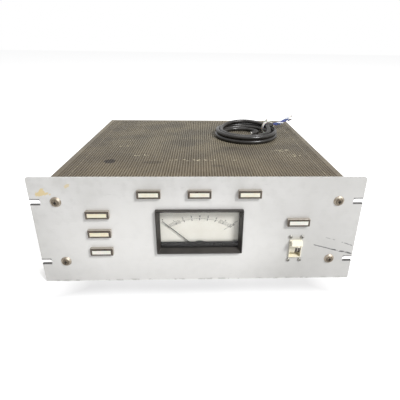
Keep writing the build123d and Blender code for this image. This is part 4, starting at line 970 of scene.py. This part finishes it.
HOLE = 3.18 * MM
PITCH = 4.76 * MM
COLUMN = PITCH * math.sqrt(3) / 2
SHEET = 1.2 * MM
BEND = 2.6 * MM
PAIRS = 50
ROWS = 76
FOLD_STEPS = 4
HOLE_SIDES = 8
WELD = 0.05 * MM
NEAR = 1e-5


def repeat(piece, count, step):
    """An array of a piece, welded where its copies meet."""
    modify(piece, "ARRAY", count=count, use_relative_offset=False, use_constant_offset=True,
           constant_offset_displace=step, use_merge_vertices=True, merge_threshold=WELD)


def perforated_half(name, side):
    """Half of the cover: staggered round holes on the top, plain margins, and a folded skirt along the side."""
    half = HOLE / 2
    cell = begin(name, bpy.ops.mesh.primitive_circle_add, vertices=HOLE_SIDES, radius=half, fill_type="NOTHING")
    pick(cell, "edges", lambda c, e: True)
    bpy.ops.mesh.extrude_edges_move()
    diagonal = half * math.sqrt(0.5)
    # the outer ring becomes the cell's outline: four corners and the middles of the four sides
    for test, size in (
            (lambda c: min(abs(c.x), abs(c.y)) > 0.3 * half, (COLUMN / 2 / diagonal, PITCH / 2 / diagonal, 1)),
            (lambda c: abs(c.y) < 0.1 * half, (COLUMN / 2 / half, 1, 1)),
            (lambda c: abs(c.x) < 0.1 * half, (1, PITCH / 2 / half, 1))):
        pick(cell, "verts", lambda c, v: v.index >= HOLE_SIDES and test(c))
        bpy.ops.transform.resize(value=size, center_override=(0, 0, 0))
    repeat(cell, ROWS, (0, PITCH, 0))
    repeat(cell, 2, (COLUMN, PITCH / 2, 0))
    # the second column starts and ends half a pitch later, so the first and last half cells are plain
    low, high = -PITCH / 2, (ROWS - 0.5) * PITCH
    for y, step, beside in ((low + PITCH / 2, -PITCH / 2, lambda x: x > COLUMN / 2),
                            (high, PITCH / 2, lambda x: x < COLUMN / 2)):
        pick(cell, "edges", lambda c, e: all(abs(v.co.y - y) < NEAR for v in e.verts) and beside(c.x))
        extend((0, step, 0))
    bpy.ops.mesh.select_all(action="SELECT")
    bpy.ops.mesh.remove_doubles(threshold=WELD)
    repeat(cell, PAIRS // 2, (2 * COLUMN, 0, 0))
    # margins: out to the front and rear edges, then to the fold
    width = PAIRS * COLUMN
    left, right = -COLUMN / 2, width - COLUMN / 2
    high += PITCH / 2
    margin = (COVER_HIGH.y - COVER_LOW.y - (high - low)) / 2
    for y, step in ((low, -margin), (high, margin)):
        pick(cell, "edges", lambda c, e: e.is_boundary and abs(c.y - y) < NEAR)
        extend((0, step, 0))
    outer = left if side < 0 else right
    pick(cell, "edges", lambda c, e: e.is_boundary and abs(c.x - outer) < NEAR)
    extend((side * ((COVER_HIGH.x - COVER_LOW.x) / 2 - width - BEND), 0, 0))
    for i in range(FOLD_STEPS):
        a0, a1 = (math.pi / 2 * j / FOLD_STEPS for j in (i, i + 1))
        extend((side * BEND * (math.sin(a1) - math.sin(a0)), 0, BEND * (math.cos(a1) - math.cos(a0))))
    extend((0, 0, COVER_LOW.z - COVER_HIGH.z + BEND))
    cell.location = (-right if side < 0 else -left, COVER_LOW.y + margin - low, COVER_TOP)
    choose(cell)
    bpy.ops.object.transform_apply(location=True)
    pick(cell, "faces", lambda c, f: True)
    bpy.ops.mesh.normals_make_consistent(inside=False)
    top = next(f for f in bmesh.from_edit_mesh(cell.data).faces if abs(f.normal.z) > 0.9)
    if top.normal.z < 0:
        bpy.ops.mesh.flip_normals()
    leave_edit()
    dress(cell, cover_enamel, cover_inside)
    modify(cell, "SOLIDIFY", thickness=SHEET, offset=-1.0, material_offset=1, material_offset_rim=1)
    bpy.ops.object.shade_smooth_by_angle(angle=math.radians(50))
    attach(cell, "case")
    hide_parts("top_cover")


perforated_half("cover_left_half", -1)
perforated_half("cover_right_half", 1)
